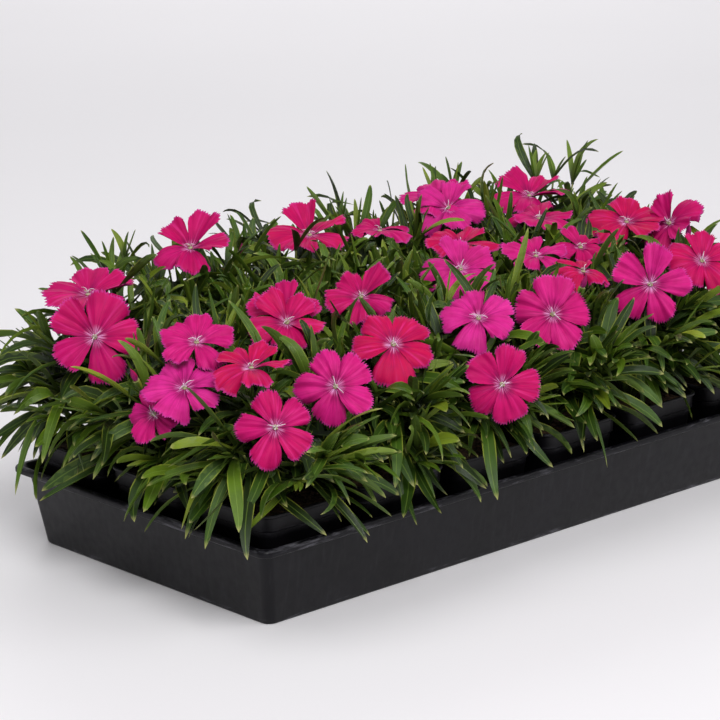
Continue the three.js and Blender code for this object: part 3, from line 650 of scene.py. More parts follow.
@dataclass(frozen=True)
class SkirtLeaves:
    """The low leaves of a plant, which arch outward.

    The first few stand evenly round the plant and keep to its row. The others are scattered.
    """

    count: int = 9
    even: int = 5
    scatter: float = 0.382
    even_height: float = 100.0
    heights: Range = Range(92.0, 26.0)
    height_swing: float = 6.0
    even_start: float = 10.0
    starts: Range = Range(8.0, 12.0)
    widths: Range = Range(0.86, 0.3)
    length: float = 54.0
    lengths: Range = Range(0.85, 0.3)
    droop: float = 0.6
    droops: Range = Range(0.8, 0.4)
    folds: Range = Range(0.15, 0.35)
    sway: float = 0.16
    twist: float = 0.9
    tone: float = 0.8
    slope: float = 0.5
    slope_step: float = 0.16
    short_step: float = 0.03
    lift_step: float = 0.07
    reach: float = 8.0

    def grow(self, row: int, place: int, index: int, clear: Clearance) -> Blade | None:
        """Grows one of them, raised step by step until it is clear.

        Args:
            row: the plant's row along the tray.
            place: the plant's place across it.
            index: the leaf's number.
            clear: what it keeps clear of.

        Returns:
            The leaf, or None where there is no room for it.
        """
        key = (row, place, index, 40)
        is_even = index < self.even
        turn = (index + 0.7 * draw(*key, 1)) / self.even
        angle = FULL_TURN * (turn if is_even else turn * self.even * self.scatter)
        outward = PLAN.spread_out(row, place, np.array([math.cos(angle), math.sin(angle), 0.0]))
        stretch = float(np.linalg.norm(outward))
        height = self.even_height if is_even else self.heights.pick(*key, 6)
        start = PLAN.plant(row, place) * LEVEL + UP * (height + self.height_swing * swing(*key, 2))
        start = start + outward * (self.even_start if is_even else self.starts.pick(*key, 7))
        length = self.length * self.lengths.pick(*key, 4) * math.sqrt(stretch)
        droop = self.droop * self.droops.pick(*key, 5) * stretch
        for attempt in range(ATTEMPTS):
            direction = unit(outward / stretch + UP * (self.slope + self.slope_step * attempt))
            blade = Blade(start, direction, length * (1 - self.short_step * attempt),
                          LEAF_WIDTH * self.widths.pick(*key, 3),
                          droop * (1 - self.lift_step * attempt), self.sway * swing(*key, 30),
                          self.twist * swing(*key, 31), self.tone * draw(*key, 32),
                          self.folds.pick(*key, 33))
            if clear.allows(blade, row, 0.0 if is_even else self.reach):
                return blade
        return None


# ------------------------------------------------------------------ templates and bunches


def deselect() -> None:
    """Leaves object mode with nothing selected."""
    if bpy.context.object and bpy.context.object.mode != "OBJECT":
        bpy.ops.object.mode_set(mode="OBJECT")
    bpy.ops.object.select_all(action="DESELECT")


def activate(piece: bpy.types.Object) -> None:
    """Makes one object the only selected and the active one."""
    deselect()
    piece.select_set(True)
    bpy.context.view_layer.objects.active = piece


def settle() -> None:
    """Applies the place, the turn and the scale of what is selected."""
    bpy.ops.object.transform_apply(location=True, rotation=True, scale=True)


def shape_with(piece: bpy.types.Object, kind: str, **settings: object) -> None:
    """Gives the active object one modifier and applies it.

    Args:
        piece: the active object.
        kind: the modifier's type.
        settings: attributes of the modifier.
    """
    modifier = piece.modifiers.new(kind.title(), kind)
    for name, value in settings.items():
        setattr(modifier, name, value)
    bpy.ops.object.modifier_apply(modifier=modifier.name)


def copied(piece: bpy.types.Object) -> bpy.types.Object:
    """Copies an object with its mesh."""
    copy = piece.copy()
    copy.data = piece.data.copy()
    bpy.context.collection.objects.link(copy)
    return copy


def joined(pieces: Sequence[bpy.types.Object], name: str,
           material: bpy.types.Material) -> bpy.types.Object:
    """Joins pieces into the first of them.

    Args:
        pieces: the pieces, of which the first gives the origin.
        name: name of the whole.
        material: its one material.

    Returns:
        The whole, selected.
    """
    deselect()
    for piece in pieces:
        piece.select_set(True)
    bpy.context.view_layer.objects.active = pieces[0]
    bpy.ops.object.join()
    whole = bpy.context.object
    whole.name = whole.data.name = name
    whole.data.materials.clear()
    whole.data.materials.append(material)
    return whole


def pick_vertices(piece: bpy.types.Object, low: float, high: float) -> None:
    """Selects the vertices between two levels along Y.

    Args:
        piece: the object in edit mode; it is left in edit mode.
        low: lower level.
        high: upper level.
    """
    bpy.ops.mesh.select_all(action="DESELECT")
    bpy.ops.mesh.select_mode(type="VERT")
    bpy.ops.object.mode_set(mode="OBJECT")
    for vertex in piece.data.vertices:
        vertex.select = low <= vertex.co.y <= high
    bpy.ops.object.mode_set(mode="EDIT")


def round_bar(sides: int, lengths: int) -> bpy.types.Object:
    """Models a bar along Y from 0 to 1 with radius 1, cut across into equal lengths.

    Args:
        sides: number of its sides.
        lengths: number of equal lengths.

    Returns:
        The bar, in edit mode.
    """
    deselect()
    bpy.ops.mesh.primitive_cylinder_add(
        vertices=sides, radius=1, depth=1, end_fill_type="NGON", location=(0, 0.5, 0),
        rotation=(-math.pi / 2, 0, 0))
    bar = bpy.context.object
    settle()
    bpy.ops.object.mode_set(mode="EDIT")
    bpy.ops.mesh.select_mode(type="EDGE")
    bpy.ops.mesh.select_all(action="DESELECT")
    bpy.ops.object.mode_set(mode="OBJECT")
    for edge in bar.data.edges:
        first, last = (bar.data.vertices[index].co.y for index in edge.vertices)
        edge.select = abs(first - last) > 0.5
    bpy.ops.object.mode_set(mode="EDIT")
    bpy.ops.mesh.subdivide(number_cuts=lengths - 1)
    bpy.ops.mesh.select_all(action="DESELECT")
    return bar


@dataclass
class Template:
    """A shape modelled once, as plain arrays, ready to be bent and copied.

    X runs across it from -1 to 1, Y along it from 0 to 1, and Z is its thickness.
    """

    points: np.ndarray
    loops: np.ndarray
    totals: np.ndarray

    @classmethod
    def taken_from(cls, piece: bpy.types.Object) -> "Template":
        """Reads the mesh of a finished object and removes the object.

        Args:
            piece: the object.

        Returns:
            Its shape.
        """
        mesh = piece.data
        points = np.empty(len(mesh.vertices) * 3)
        mesh.vertices.foreach_get("co", points)
        loops = np.empty(len(mesh.loops), dtype=np.int32)
        mesh.loops.foreach_get("vertex_index", loops)
        totals = np.empty(len(mesh.polygons), dtype=np.int32)
        mesh.polygons.foreach_get("loop_total", totals)
        bpy.data.objects.remove(piece)
        bpy.data.meshes.remove(mesh)
        return cls(points.reshape(-1, 3), loops, totals)


@dataclass(frozen=True)
class BladeTemplate:
    """A leaf: a four-sided bar cut into rings, each ring drawn in to the leaf's outline.

    groove is how high its upper side stands along the midrib, where the keel below has 1.
    """

    rings: tuple[float, ...] = (0.0, 0.08, 0.2, 0.35, 0.5, 0.65, 0.78, 0.89, 0.96)
    widths: tuple[float, ...] = (0.42, 0.5, 0.7, 0.9, 1.0, 0.97, 0.82, 0.58, 0.34)
    groove: float = 0.25

    def model(self) -> Template:
        """Models the blade, widest past its middle, with a short pointed tip.

        Returns:
            The blade as a template; thickness 1 at its keel.
        """
        count, near = len(self.rings), 0.01
        bar = round_bar(4, count)
        for level in range(count, -1, -1):
            here = level / count
            pick_vertices(bar, here - near, here + near)
            if level == count:
                bpy.ops.mesh.merge(type="CENTER")
                continue
            wide = self.widths[level]
            bpy.ops.transform.resize(value=(wide, 1, math.sqrt(wide)))
            bpy.ops.transform.translate(value=(0, self.rings[level] - here, 0))
        bpy.ops.object.mode_set(mode="OBJECT")
        template = Template.taken_from(bar)
        template.points[template.points[:, 2] > near, 2] = self.groove
        return template


@dataclass(frozen=True)
class PetalTemplate:
    """A petal: a fine grid with a thickness, its edge closed all round."""

    across: int = 36
    along: int = 10
    thickness: float = 1.0

    def model(self) -> Template:
        """Models the flat petal sheet.

        Returns:
            The sheet as a template, with its front at 0 and its back at -1.
        """
        deselect()
        bpy.ops.mesh.primitive_grid_add(
            x_subdivisions=self.across, y_subdivisions=self.along, size=1, location=(0, 0.5, 0))
        sheet = bpy.context.object
        sheet.scale = (2, 1, 1)
        settle()
        shape_with(sheet, "SOLIDIFY", thickness=self.thickness, offset=-1)
        return Template.taken_from(sheet)


@dataclass(frozen=True)
class TubeTemplate:
    """A round bar along Y with a number of rings, closed at both ends."""

    sides: int
    rings: int

    def model(self) -> Template:
        """Models the bar with radius 1 and length 1."""
        bar = round_bar(self.sides, self.rings)
        bpy.ops.object.mode_set(mode="OBJECT")
        return Template.taken_from(bar)


class Skin(Enum):
    """The material slots of a growing piece."""

    LEAF = 0
    PETAL = 1
    STYLE = 2


@dataclass
class Bunch:
    """Bent copies of templates, gathered into one mesh.

    A template's X and Y are its chart. On the underside the chart lies one unit further across.
    """

    points: list[np.ndarray] = field(default_factory=list)
    loops: list[np.ndarray] = field(default_factory=list)
    totals: list[np.ndarray] = field(default_factory=list)
    maps: list[np.ndarray] = field(default_factory=list)
    tones: list[np.ndarray] = field(default_factory=list)
    skins: list[np.ndarray] = field(default_factory=list)
    count: int = 0
    under: float = -0.02
    fold_angle: float = math.radians(58)

    def add(self, template: Template, bent: np.ndarray, tone: float, skin: Skin) -> None:
        """Adds one bent copy of a template.

        Args:
            template: the shape that is copied.
            bent: its points after bending, in millimetres.
            tone: a number that its material reads.
            skin: its material slot.
        """
        self.points.append(bent)
        self.loops.append(template.loops + self.count)
        self.totals.append(template.totals)
        chart = template.points[template.loops][:, :2] * [0.5, 1.0] + [0.5, 0.0]
        owner = np.repeat(np.arange(len(template.totals)), template.totals)
        middle = np.zeros(len(template.totals))
        np.add.at(middle, owner, template.points[template.loops, 2])
        chart[(middle / template.totals)[owner] < self.under, 0] += 1.0
        self.maps.append(chart)
        self.tones.append(np.full(len(bent), tone))
        self.skins.append(np.full(len(template.totals), skin.value))
        self.count += len(bent)

    def mesh(self, name: str) -> bpy.types.Mesh:
        """Makes the mesh, with its chart and its tones.

        Args:
            name: the mesh's name.

        Returns:
            The mesh.
        """
        mesh = bpy.data.meshes.new(name)
        points = np.concatenate(self.points) * MM
        loops = np.concatenate(self.loops)
        totals = np.concatenate(self.totals)
        starts = np.concatenate([[0], np.cumsum(totals)[:-1]])
        mesh.vertices.add(len(points))
        mesh.vertices.foreach_set("co", points.ravel())
        mesh.loops.add(len(loops))
        mesh.loops.foreach_set("vertex_index", loops)
        mesh.polygons.add(len(totals))
        mesh.polygons.foreach_set("loop_start", starts)
        mesh.polygons.foreach_set("material_index", np.concatenate(self.skins))
        mesh.update(calc_edges=True)
        chart = mesh.uv_layers.new(name="Chart")
        chart.data.foreach_set("uv", np.concatenate(self.maps).ravel())
        tone = mesh.attributes.new("tone", "FLOAT", "POINT")
        tone.data.foreach_set("value", np.concatenate(self.tones))
        mesh.validate()
        return mesh

    def piece(self, name: str, skins: Sequence[bpy.types.Material]) -> bpy.types.Object:
        """Makes the finished object.

        Args:
            name: its name.
            skins: its materials, in the order of Skin.

        Returns:
            The object, shaded smooth up to sharp folds.
        """
        piece = bpy.data.objects.new(name, self.mesh(name))
        bpy.context.collection.objects.link(piece)
        for material in skins:
            piece.data.materials.append(material)
        activate(piece)
        bpy.ops.object.shade_smooth_by_angle(angle=self.fold_angle)
        return piece


# A leaf's foot clasps its stem: the halves fold up this steeply, easing off over this share.
FOOT_FOLD, FOOT_SHARE = 0.8, 0.3
# A slim leaf is this much wider than its template at the foot, and loses this much to the tip.
SLIM_FOOT, SLIM_TAPER = 0.28, 0.5
# The direction of a leaf is read between a point of it and one this share further along.
AHEAD = 0.02
# No path runs this way, so a tube's sides can be laid out from it.
OFF_PATH = (0.31, 0.2, 0.93)


def bend_blade(template: Template, blade: Blade, keel: float = 0.5) -> np.ndarray:
    """Bends the blade template along a leaf.

    Args:
        template: the blade.
        blade: the leaf it follows.
        keel: thickness of the leaf, millimetres.

    Returns:
        The bent points, millimetres.
    """
    x, y, z = template.points.T
    middle = blade.point(y)
    ahead = unit(blade.point(y + AHEAD) - middle)
    level = unit(blade.across()[None] - ahead * (ahead @ blade.across())[:, None])
    normal = np.cross(level, ahead)
    roll = (blade.twist * y)[:, None]
    across = level * np.cos(roll) + normal * np.sin(roll)
    above = normal * np.cos(roll) - level * np.sin(roll)
    half = blade.width / 2 * (1 + blade.slim * (SLIM_FOOT - SLIM_TAPER * y))
    fold = blade.fold + (FOOT_FOLD - blade.fold) * (1 - smooth(0.0, FOOT_SHARE, y))
    raised = np.abs(x) * half * fold
    return middle + across * (x * half)[:, None] + above * (raised + z * keel)[:, None]


def bend_tube(template: Template, path: np.ndarray, radii: np.ndarray) -> np.ndarray:
    """Bends the tube template along a path.

    Args:
        template: the tube.
        path: points of the path, millimetres.
        radii: the tube's radius at each point of the path.

    Returns:
        The bent points, millimetres.
    """
    x, y, z = template.points.T
    at = np.clip(y, 0, 1) * (len(path) - 1)
    low = np.minimum(at.astype(int), len(path) - 2)
    share = (at - low)[:, None]
    middle = path[low] * (1 - share) + path[low + 1] * share
    slopes = unit(np.gradient(path, axis=0))
    ahead = unit(slopes[low] * (1 - share) + slopes[low + 1] * share)
    level = unit(np.cross(ahead, OFF_PATH))
    above = np.cross(level, ahead)
    radius = radii[low][:, None] * (1 - share) + radii[low + 1][:, None] * share
    return middle + (level * x[:, None] + above * z[:, None]) * radius


# ------------------------------------------------------------------ materials


def linear(code: str) -> tuple[float, float, float, float]:
    """Turns an sRGB hex colour into linear values."""
    parts = [int(code[k:k + 2], 16) / 255 for k in (1, 3, 5)]
    return (*[c / 12.92 if c <= 0.04045 else ((c + 0.055) / 1.055) ** 2.4 for c in parts], 1.0)


def scale_for(size_mm: float) -> float:
    """Gives the texture scale at which one cell of a pattern has a real size."""
    return 1 / (size_mm * MM)


class Finish:
    """A material with one principled shader, to which nodes are added one by one."""

    def __init__(self, name: str, roughness: float, ior: float, **sockets: object) -> None:
        """Starts the material.

        Args:
            name: the material's name.
            roughness: the shader's roughness.
            ior: the shader's index of refraction.
            sockets: further inputs of the shader, spaces written as underscores.
        """
        self.material = bpy.data.materials.new(name)
        self.material.use_nodes = True
        self.tree = self.material.node_tree
        self.shader = self.tree.nodes["Principled BSDF"]
        self.feed(Roughness=roughness, IOR=ior, **sockets)

    def connect(self, socket: bpy.types.NodeSocket, value: object) -> None:
        """Feeds a socket with a value, or from a node's main output or another socket."""
        if isinstance(value, bpy.types.Node):
            value = value.outputs[2 if value.bl_idname == "ShaderNodeMix" else 0]
        if isinstance(value, bpy.types.NodeSocket):
            self.tree.links.new(value, socket)
        else:
            socket.default_value = value

    def feed(self, **sockets: object) -> None:
        """Feeds inputs of the shader, their spaces written as underscores."""
        for name, value in sockets.items():
            self.connect(self.shader.inputs[name.replace("_", " ")], value)

    def add(self, kind: str, links: dict | None = None,
            stops: Sequence[tuple[float, str]] = (), **settings: object) -> bpy.types.Node:
        """Adds a node with its settings and its inputs.

        Args:
            kind: the node's type name without the ShaderNode prefix.
            links: for each input name or number, a value, or the node or socket that feeds it.
            stops: position and sRGB hex colour of each stop of a colour ramp.
            settings: attributes of the node.

        Returns:
            The new node.
        """
        node = self.tree.nodes.new("ShaderNode" + kind)
        for name, value in settings.items():
            setattr(node, name, value)
        for name, value in (links or {}).items():
            self.connect(node.inputs[name], value)
        if stops:
            elements = node.color_ramp.elements
            while len(elements) < len(stops):
                elements.new(0.5)
            for element, (position, code) in zip(elements, stops):
                element.position, element.color = position, linear(code)
        return node


# Settings that many nodes share: a gentle start and end, and a mix of colours.
SOFT = {"interpolation_type": "SMOOTHSTEP"}
COLOUR = {"data_type": "RGBA"}


@dataclass(frozen=True)
class FormedPlastic:
    """Vacuum-formed high-impact polystyrene, carbon black: satin, faintly grained and scuffed, with
    painted highlights along some edges.
    """

    name: str
    dark: str
    light: str
    pale_mark_and_highlight: str
    roughness: float
    wear_and_highlight_heights_mm: tuple[float, ...]

    def make(self) -> bpy.types.Material:
        """Makes the material; pale lines along the edges at the given heights are partly handling
        wear and partly a painted highlight that the edges catch.

        Returns:
            The material.
        """
        finish = Finish(self.name, self.roughness, 1.5, Specular_IOR_Level=0.2)
        add = finish.add
        here = add("TexCoord").outputs["Object"]
        cloud = add("TexNoise", {"Vector": here, "Scale": scale_for(38), "Detail": 3})
        colour = add("ValToRGB", {0: cloud}, stops=[(0.3, self.dark), (0.72, self.light)])
        # The sheet was drawn down into the mould, which leaves faint upright streaks.
        drawn = add("Mapping", {"Vector": here, "Scale": (1, 1, 0.12)})
        drawn = add("TexNoise", {"Vector": drawn, "Scale": scale_for(4), "Detail": 4})
        drawn = add("MapRange", {0: drawn, 1: 0.5, 2: 0.8, 3: 0, 4: 0.06}, **SOFT)
        colour = add("Mix", {0: drawn, 6: colour, 7: linear(self.pale_mark_and_highlight)}, **COLOUR)
        height = add("SeparateXYZ", {0: here}).outputs[2]
        # Pale lines at the given heights: partly wear from handling, partly a painted highlight
        # along the rim and lip edges.
        near = 0.0
        for level in self.wear_and_highlight_heights_mm:
            off = add("Math", {0: height, 1: level * MM}, operation="SUBTRACT")
            off = add("Math", {0: off}, operation="ABSOLUTE")
            off = add("MapRange", {0: off, 1: 0.0004, 2: 0.0034, 3: 1, 4: 0}, **SOFT)
            near = add("Math", {0: near, 1: off}, operation="MAXIMUM")
        rubbed = add("Mapping", {"Vector": here, "Scale": (0.35, 0.35, 2.4)})
        rubbed = add("TexNoise", {"Vector": rubbed, "Scale": scale_for(11), "Detail": 6,
                                  "Roughness": 0.72})
        rubbed = add("MapRange", {0: rubbed, 1: 0.5, 2: 0.68, 3: 0, 4: 0.85}, **SOFT)
        worn_and_highlit = add("Math", {0: rubbed, 1: near}, operation="MULTIPLY")
        colour = add("Mix", {0: worn_and_highlit, 6: colour, 7: linear(self.pale_mark_and_highlight)}, **COLOUR)
        patch = add("TexNoise", {"Vector": here, "Scale": scale_for(6), "Detail": 4})
        rough = add("MapRange", {0: patch, 1: 0.3, 2: 0.7, 3: self.roughness - 0.03,
                                 4: self.roughness + 0.05}, **SOFT)
        # The real grain is finer than 0.3 mm; it is drawn at 0.9 mm so that it shows.
        grain = add("TexNoise", {"Vector": here, "Scale": scale_for(0.9), "Detail": 3})
        relief = add("Bump", {"Height": grain, "Distance": 0.12 * MM, "Strength": 0.16})
        finish.feed(Base_Color=colour, Roughness=rough, Normal=relief)
        return finish.material


@dataclass(frozen=True)
class Peat:
    """Damp white and black peat with fibres: dark, rough and crumbly."""

    name: str = "peat_substrate"

    def make(self) -> bpy.types.Material:
        """Makes the material; crumbs of about 3 mm with paler fibres among them.

        Returns:
            The material.
        """
        finish = Finish(self.name, 0.95, 1.4)
        add = finish.add
        here = add("TexCoord").outputs["Object"]
        crumb = add("TexVoronoi", {"Vector": here, "Scale": scale_for(3.2)})
        fibre = add("TexNoise", {"Vector": here, "Scale": scale_for(5), "Detail": 6})
        tone = add("Mix", {0: 0.55, 6: crumb.outputs["Color"], 7: fibre}, **COLOUR)
        tone = add("RGBToBW", {0: tone})
        colour = add("ValToRGB", {0: tone}, stops=[
            (0.2, "#1A120D"), (0.5, "#3B291D"), (0.72, "#5D4430"), (0.9, "#866848")])
        relief = add("Bump", {"Height": crumb, "Distance": 2.0 * MM, "Strength": 0.8})
        finish.feed(Base_Color=colour, Normal=relief)
        return finish.material


@dataclass(frozen=True)
class LeafSkin:
    """Fresh pinks foliage: a firm narrow leaf with a thin wax bloom and a sunk midrib."""

    name: str = "waxy_leaf"
    young: str = "#8A982A"
    old_and_shaded: str = "#0C1806"

    def make(self) -> bpy.types.Material:
        """Makes the material; the chart gives the place on the leaf, tone its age and its painted
        light and shade.

        Returns:
            The material.
        """
        finish = Finish(self.name, 0.36, 1.45, Specular_IOR_Level=0.4)
        add = finish.add
        here = add("TexCoord").outputs["Object"]
        chart = add("UVMap", uv_map="Chart")
        across, along, _ = add("SeparateXYZ", {0: chart}).outputs
        tone = add("Attribute", attribute_name="tone").outputs["Fac"]
        side = add("Math", {0: across}, operation="FRACT")
        off = add("Math", {0: side, 1: 0.5}, operation="SUBTRACT")
        off = add("Math", {0: off}, operation="ABSOLUTE")
        # Low tones darken the aged leaves deep in the plant as painted shade; the top of the ramp
        # is the young, lit tips.
        green = add("ValToRGB", {0: tone}, stops=[
            (0.0, self.old_and_shaded), (0.3, "#253F0B"), (0.55, "#3D5C10"), (0.8, "#5C7816"),
            (1.0, self.young)])
        blotch = add("TexNoise", {"Vector": here, "Scale": scale_for(16), "Detail": 4})
        blotch = add("MapRange", {0: blotch, 1: 0.34, 2: 0.75, 3: 0, 4: 0.45}, **SOFT)
        green = add("Mix", {0: blotch, 6: green, 7: linear("#172A09")}, **COLOUR)
        veins = add("Mapping", {"Vector": chart, "Scale": (9, 0.35, 1)})
        veins = add("TexWave", {"Vector": veins, "Scale": 1.0, "Distortion": 0.8, "Detail": 2.0},
                    bands_direction="X").outputs["Fac"]
        # Veins, midrib, yellow margin, dry tip, shaded foot and the paler underside.
        for mask, ends, share, code in (
                (veins, (0.0, 1.0), 0.12, "#5A7628"),
                (off, (0.06, 0.0), 0.55, "#6F8A34"),
                (off, (0.38, 0.49), 0.75, "#9CA63C"),
                (along, (0.93, 1.0), 0.65, "#B4B06C"),
                (along, (0.55, 0.06), 0.8, "#0B1505"),
                (across, (1.0, 1.01), 0.3, "#687E32")):
            shown = add("MapRange", {0: mask, 1: ends[0], 2: ends[1], 3: 0, 4: share}, **SOFT)
            green = add("Mix", {0: shown, 6: green, 7: linear(code)}, **COLOUR)
        patch = add("TexNoise", {"Vector": here, "Scale": scale_for(4), "Detail": 3})
        rough = add("MapRange", {0: patch, 1: 0.3, 2: 0.7, 3: 0.3, 4: 0.46}, **SOFT)
        furrow = add("MapRange", {0: off, 1: 0.0, 2: 0.08}, **SOFT)
        height = add("Math", {0: veins, 1: 0.25, 2: furrow}, operation="MULTIPLY_ADD")
        relief = add("Bump", {"Height": height, "Distance": 0.35 * MM, "Strength": 0.6})
        finish.feed(Base_Color=green, Roughness=rough, Normal=relief)
        return finish.material


@dataclass(frozen=True)
class PetalSkin:
    """Velvety petal: tiny raised cells scatter the light, veins fan out from a pale eye."""

    name: str = "velvet_petal"

    def make(self) -> bpy.types.Material:
        """Makes the material; the chart gives the place on the petal, tone its colour.

        Returns:
            The material.
        """
        finish = Finish(self.name, 0.55, 1.4, Specular_IOR_Level=0.16, Sheen_Weight=0.03,
                        Sheen_Roughness=0.4, Sheen_Tint=linear("#FF7AC4"))
        add = finish.add
        here = add("TexCoord").outputs["Object"]
        chart = add("UVMap", uv_map="Chart")
        across, out, _ = add("SeparateXYZ", {0: chart}).outputs
        tone = add("Attribute", attribute_name="tone").outputs["Fac"]
        side = add("Math", {0: across}, operation="FRACT")
        apart = add("Math", {0: tone, 1: 37.0}, operation="MULTIPLY")
        seat = add("CombineXYZ", {0: side, 1: out, 2: apart})
        colour = add("ValToRGB", {0: tone}, stops=[
            (0.1, "#D2288C"), (0.3, "#CC1A7A"), (0.5, "#BD0A60"), (0.7, "#C20B54"),
            (0.9, "#C00A4A")])
        cloud = add("TexNoise", {"Vector": here, "Scale": scale_for(10), "Detail": 3})
        # Drawn out along the petal, noise reads as veins, as streaks and as the spokes of the eye.
        fine, broad, thin = (
            add("TexNoise", {"Vector": add("Mapping", {"Vector": seat, "Scale": scale}),
                             "Scale": 1.0, "Detail": detail})
            for scale, detail in (((30, 1.6, 1), 3.0), ((10, 1.0, 1), 2.0), ((17, 0.8, 1), 1.0)))
        # Veins die away from the eye to the rim.
        inner = add("MapRange", {0: out, 1: 0.25, 2: 0.95, 3: 1, 4: 0.35}, **SOFT)
        spokes = add("MapRange", {0: thin, 1: 0.42, 2: 0.56, 3: 0.15, 4: 0.9}, **SOFT)
        rays = add("MapRange", {0: thin, 1: 0.5, 2: 0.41, 3: 0.02, 4: 1}, **SOFT)
        # Clouds, veins, bright streaks, the dark ring, the pale eye in it, the rim, the underside.
        for mask, ends, share, within, code in (
                (cloud, (0.34, 0.7), 0.4, None, "#9C064C"),
                (fine, (0.46, 0.7), 0.5, inner, "#86044E"),
                (broad, (0.48, 0.76), 0.36, None, "#EA3C98"),
                (out, (0.46, 0.18), 0.8, spokes, "#78064A"),
                (out, (0.25, 0.05), 0.88, rays, "#DFA6DA"),
                (out, (0.9, 1.0), 0.5, None, "#CC4FAE"),
                (across, (1.0, 1.01), 0.75, None, "#7E1E5C")):
            shown = add("MapRange", {0: mask, 1: ends[0], 2: ends[1], 3: 0, 4: share}, **SOFT)
            if within is not None:
                shown = add("Math", {0: shown, 1: within}, operation="MULTIPLY")
            colour = add("Mix", {0: shown, 6: colour, 7: linear(code)}, **COLOUR)
        # The raised cells are too fine to show: the sheen and the veins' relief stand for them.
        relief = add("Bump", {"Height": fine, "Distance": 0.25 * MM, "Strength": 0.4})
        finish.feed(Base_Color=colour, Normal=relief)
        return finish.material


@dataclass(frozen=True)
class StyleSkin:
    """Styles and stamens: pale, moist and smooth."""

    name: str = "pale_style"

    def make(self) -> bpy.types.Material:
        """Makes the material; tone leads from pale styles to grey-mauve anthers.

        Returns:
            The material.
        """
        finish = Finish(self.name, 0.45, 1.42)
        add = finish.add
        here = add("TexCoord").outputs["Object"]
        tone = add("Attribute", attribute_name="tone").outputs["Fac"]
        colour = add("ValToRGB", {0: tone}, stops=[
            (0.0, "#E8DAE4"), (0.45, "#9FA05C"), (1.0, "#75628A")])
        cloud = add("TexNoise", {"Vector": here, "Scale": scale_for(1.2), "Detail": 3})
        cloud = add("MapRange", {0: cloud, 1: 0.35, 2: 0.7, 3: 0, 4: 0.3}, **SOFT)
        colour = add("Mix", {0: cloud, 6: colour, 7: linear("#C7A9C0")}, **COLOUR)
        finish.feed(Base_Color=colour)
        return finish.material


# ------------------------------------------------------------------ made pieces


@dataclass
class Ring:
    """One outline of a moulded shell: half sizes and height, millimetres."""

    half_x: float
    half_y: float
    z: float


@dataclass
class Moulding:
    """A shell drawn from one rounded sheet, ring by ring."""

    name: str
    corner: float
    rings: list[Ring]
    corner_steps: int
    bevel: float
    bend_angle: float = math.radians(32)
    smooth_angle: float = math.radians(40)

    def build(self) -> bpy.types.Object:
        """Draws the sheet out along its rings.

        Returns:
            The closed shell, at the origin.
        """
        deselect()
        first = self.rings[0]
        bpy.ops.mesh.primitive_plane_add(size=2)
        shell = bpy.context.object
        shell.name = shell.data.name = self.name
        shell.scale = (first.half_x * MM, first.half_y * MM, 1)
        shell.location.z = first.z * MM
        settle()
        bpy.ops.object.mode_set(mode="EDIT")
        bpy.ops.mesh.select_all(action="SELECT")
        bpy.ops.mesh.bevel(affect="VERTICES", offset=self.corner * MM,
                           offset_type="OFFSET", segments=self.corner_steps)
        bpy.ops.mesh.select_mode(type="FACE")
        bpy.ops.mesh.select_all(action="SELECT")
        before = first
        for ring in self.rings[1:]:
            bpy.ops.mesh.extrude_region_move(
                TRANSFORM_OT_translate={"value": (0, 0, (ring.z - before.z) * MM)})
            bpy.ops.transform.resize(
                value=(ring.half_x / before.half_x, ring.half_y / before.half_y, 1),
                center_override=(0, 0, ring.z * MM))
            before = ring
        bpy.ops.mesh.select_all(action="SELECT")
        bpy.ops.mesh.normals_make_consistent(inside=False)
        bpy.ops.object.mode_set(mode="OBJECT")
        shape_with(shell, "BEVEL", width=self.bevel * MM, segments=2, limit_method="ANGLE",
                   angle_limit=self.bend_angle)
        bpy.ops.object.shade_smooth_by_angle(angle=self.smooth_angle)
        return shell


@dataclass
class TrayShell:
    """The open tray: sloping walls, a turned-out rim with a rolled lip, rounded corners."""

    name: str = "tray_shell"
    height: float = 58.5
    corner: float = 7.0
    corner_steps: int = 12
    bevel: float = 0.35
    lip: float = 5.4
    wall: float = 2.0

    def rings(self) -> list[Ring]:
        """Gives the outlines from the outer underside round the lip to the inner floor.

        Returns:
            The outlines in order.
        """
        x, y, top = PLAN.half_length, PLAN.half_width, self.height
        # How far each outline lies in from the rim's outer edge, and its height.
        inset_z = (
            (18.0, 0.0), (16.2, 0.25), (15.4, 1.6), (7.4, top - self.lip), (0.9, top - self.lip),
            (0.0, top - self.lip + 0.9), (0.0, top - 1.7), (0.5, top - 0.6), (1.6, top),
            (3.6, top), (4.9, top - 0.7), (9.4, top - self.lip - self.wall),
            (17.6, self.wall + 0.6), (19.0, self.wall))
        return [Ring(x - inset, y - inset, z) for inset, z in inset_z]

    def build(self, plastic: bpy.types.Material) -> bpy.types.Object:
        """Makes the tray in its plastic.

        Args:
            plastic: the material.

        Returns:
            The tray.
        """
        shell = Moulding(
            self.name, self.corner, self.rings(), self.corner_steps, self.bevel).build()
        shell.data.materials.append(plastic)
        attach(shell, BODY)
        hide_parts("tray")
        return shell


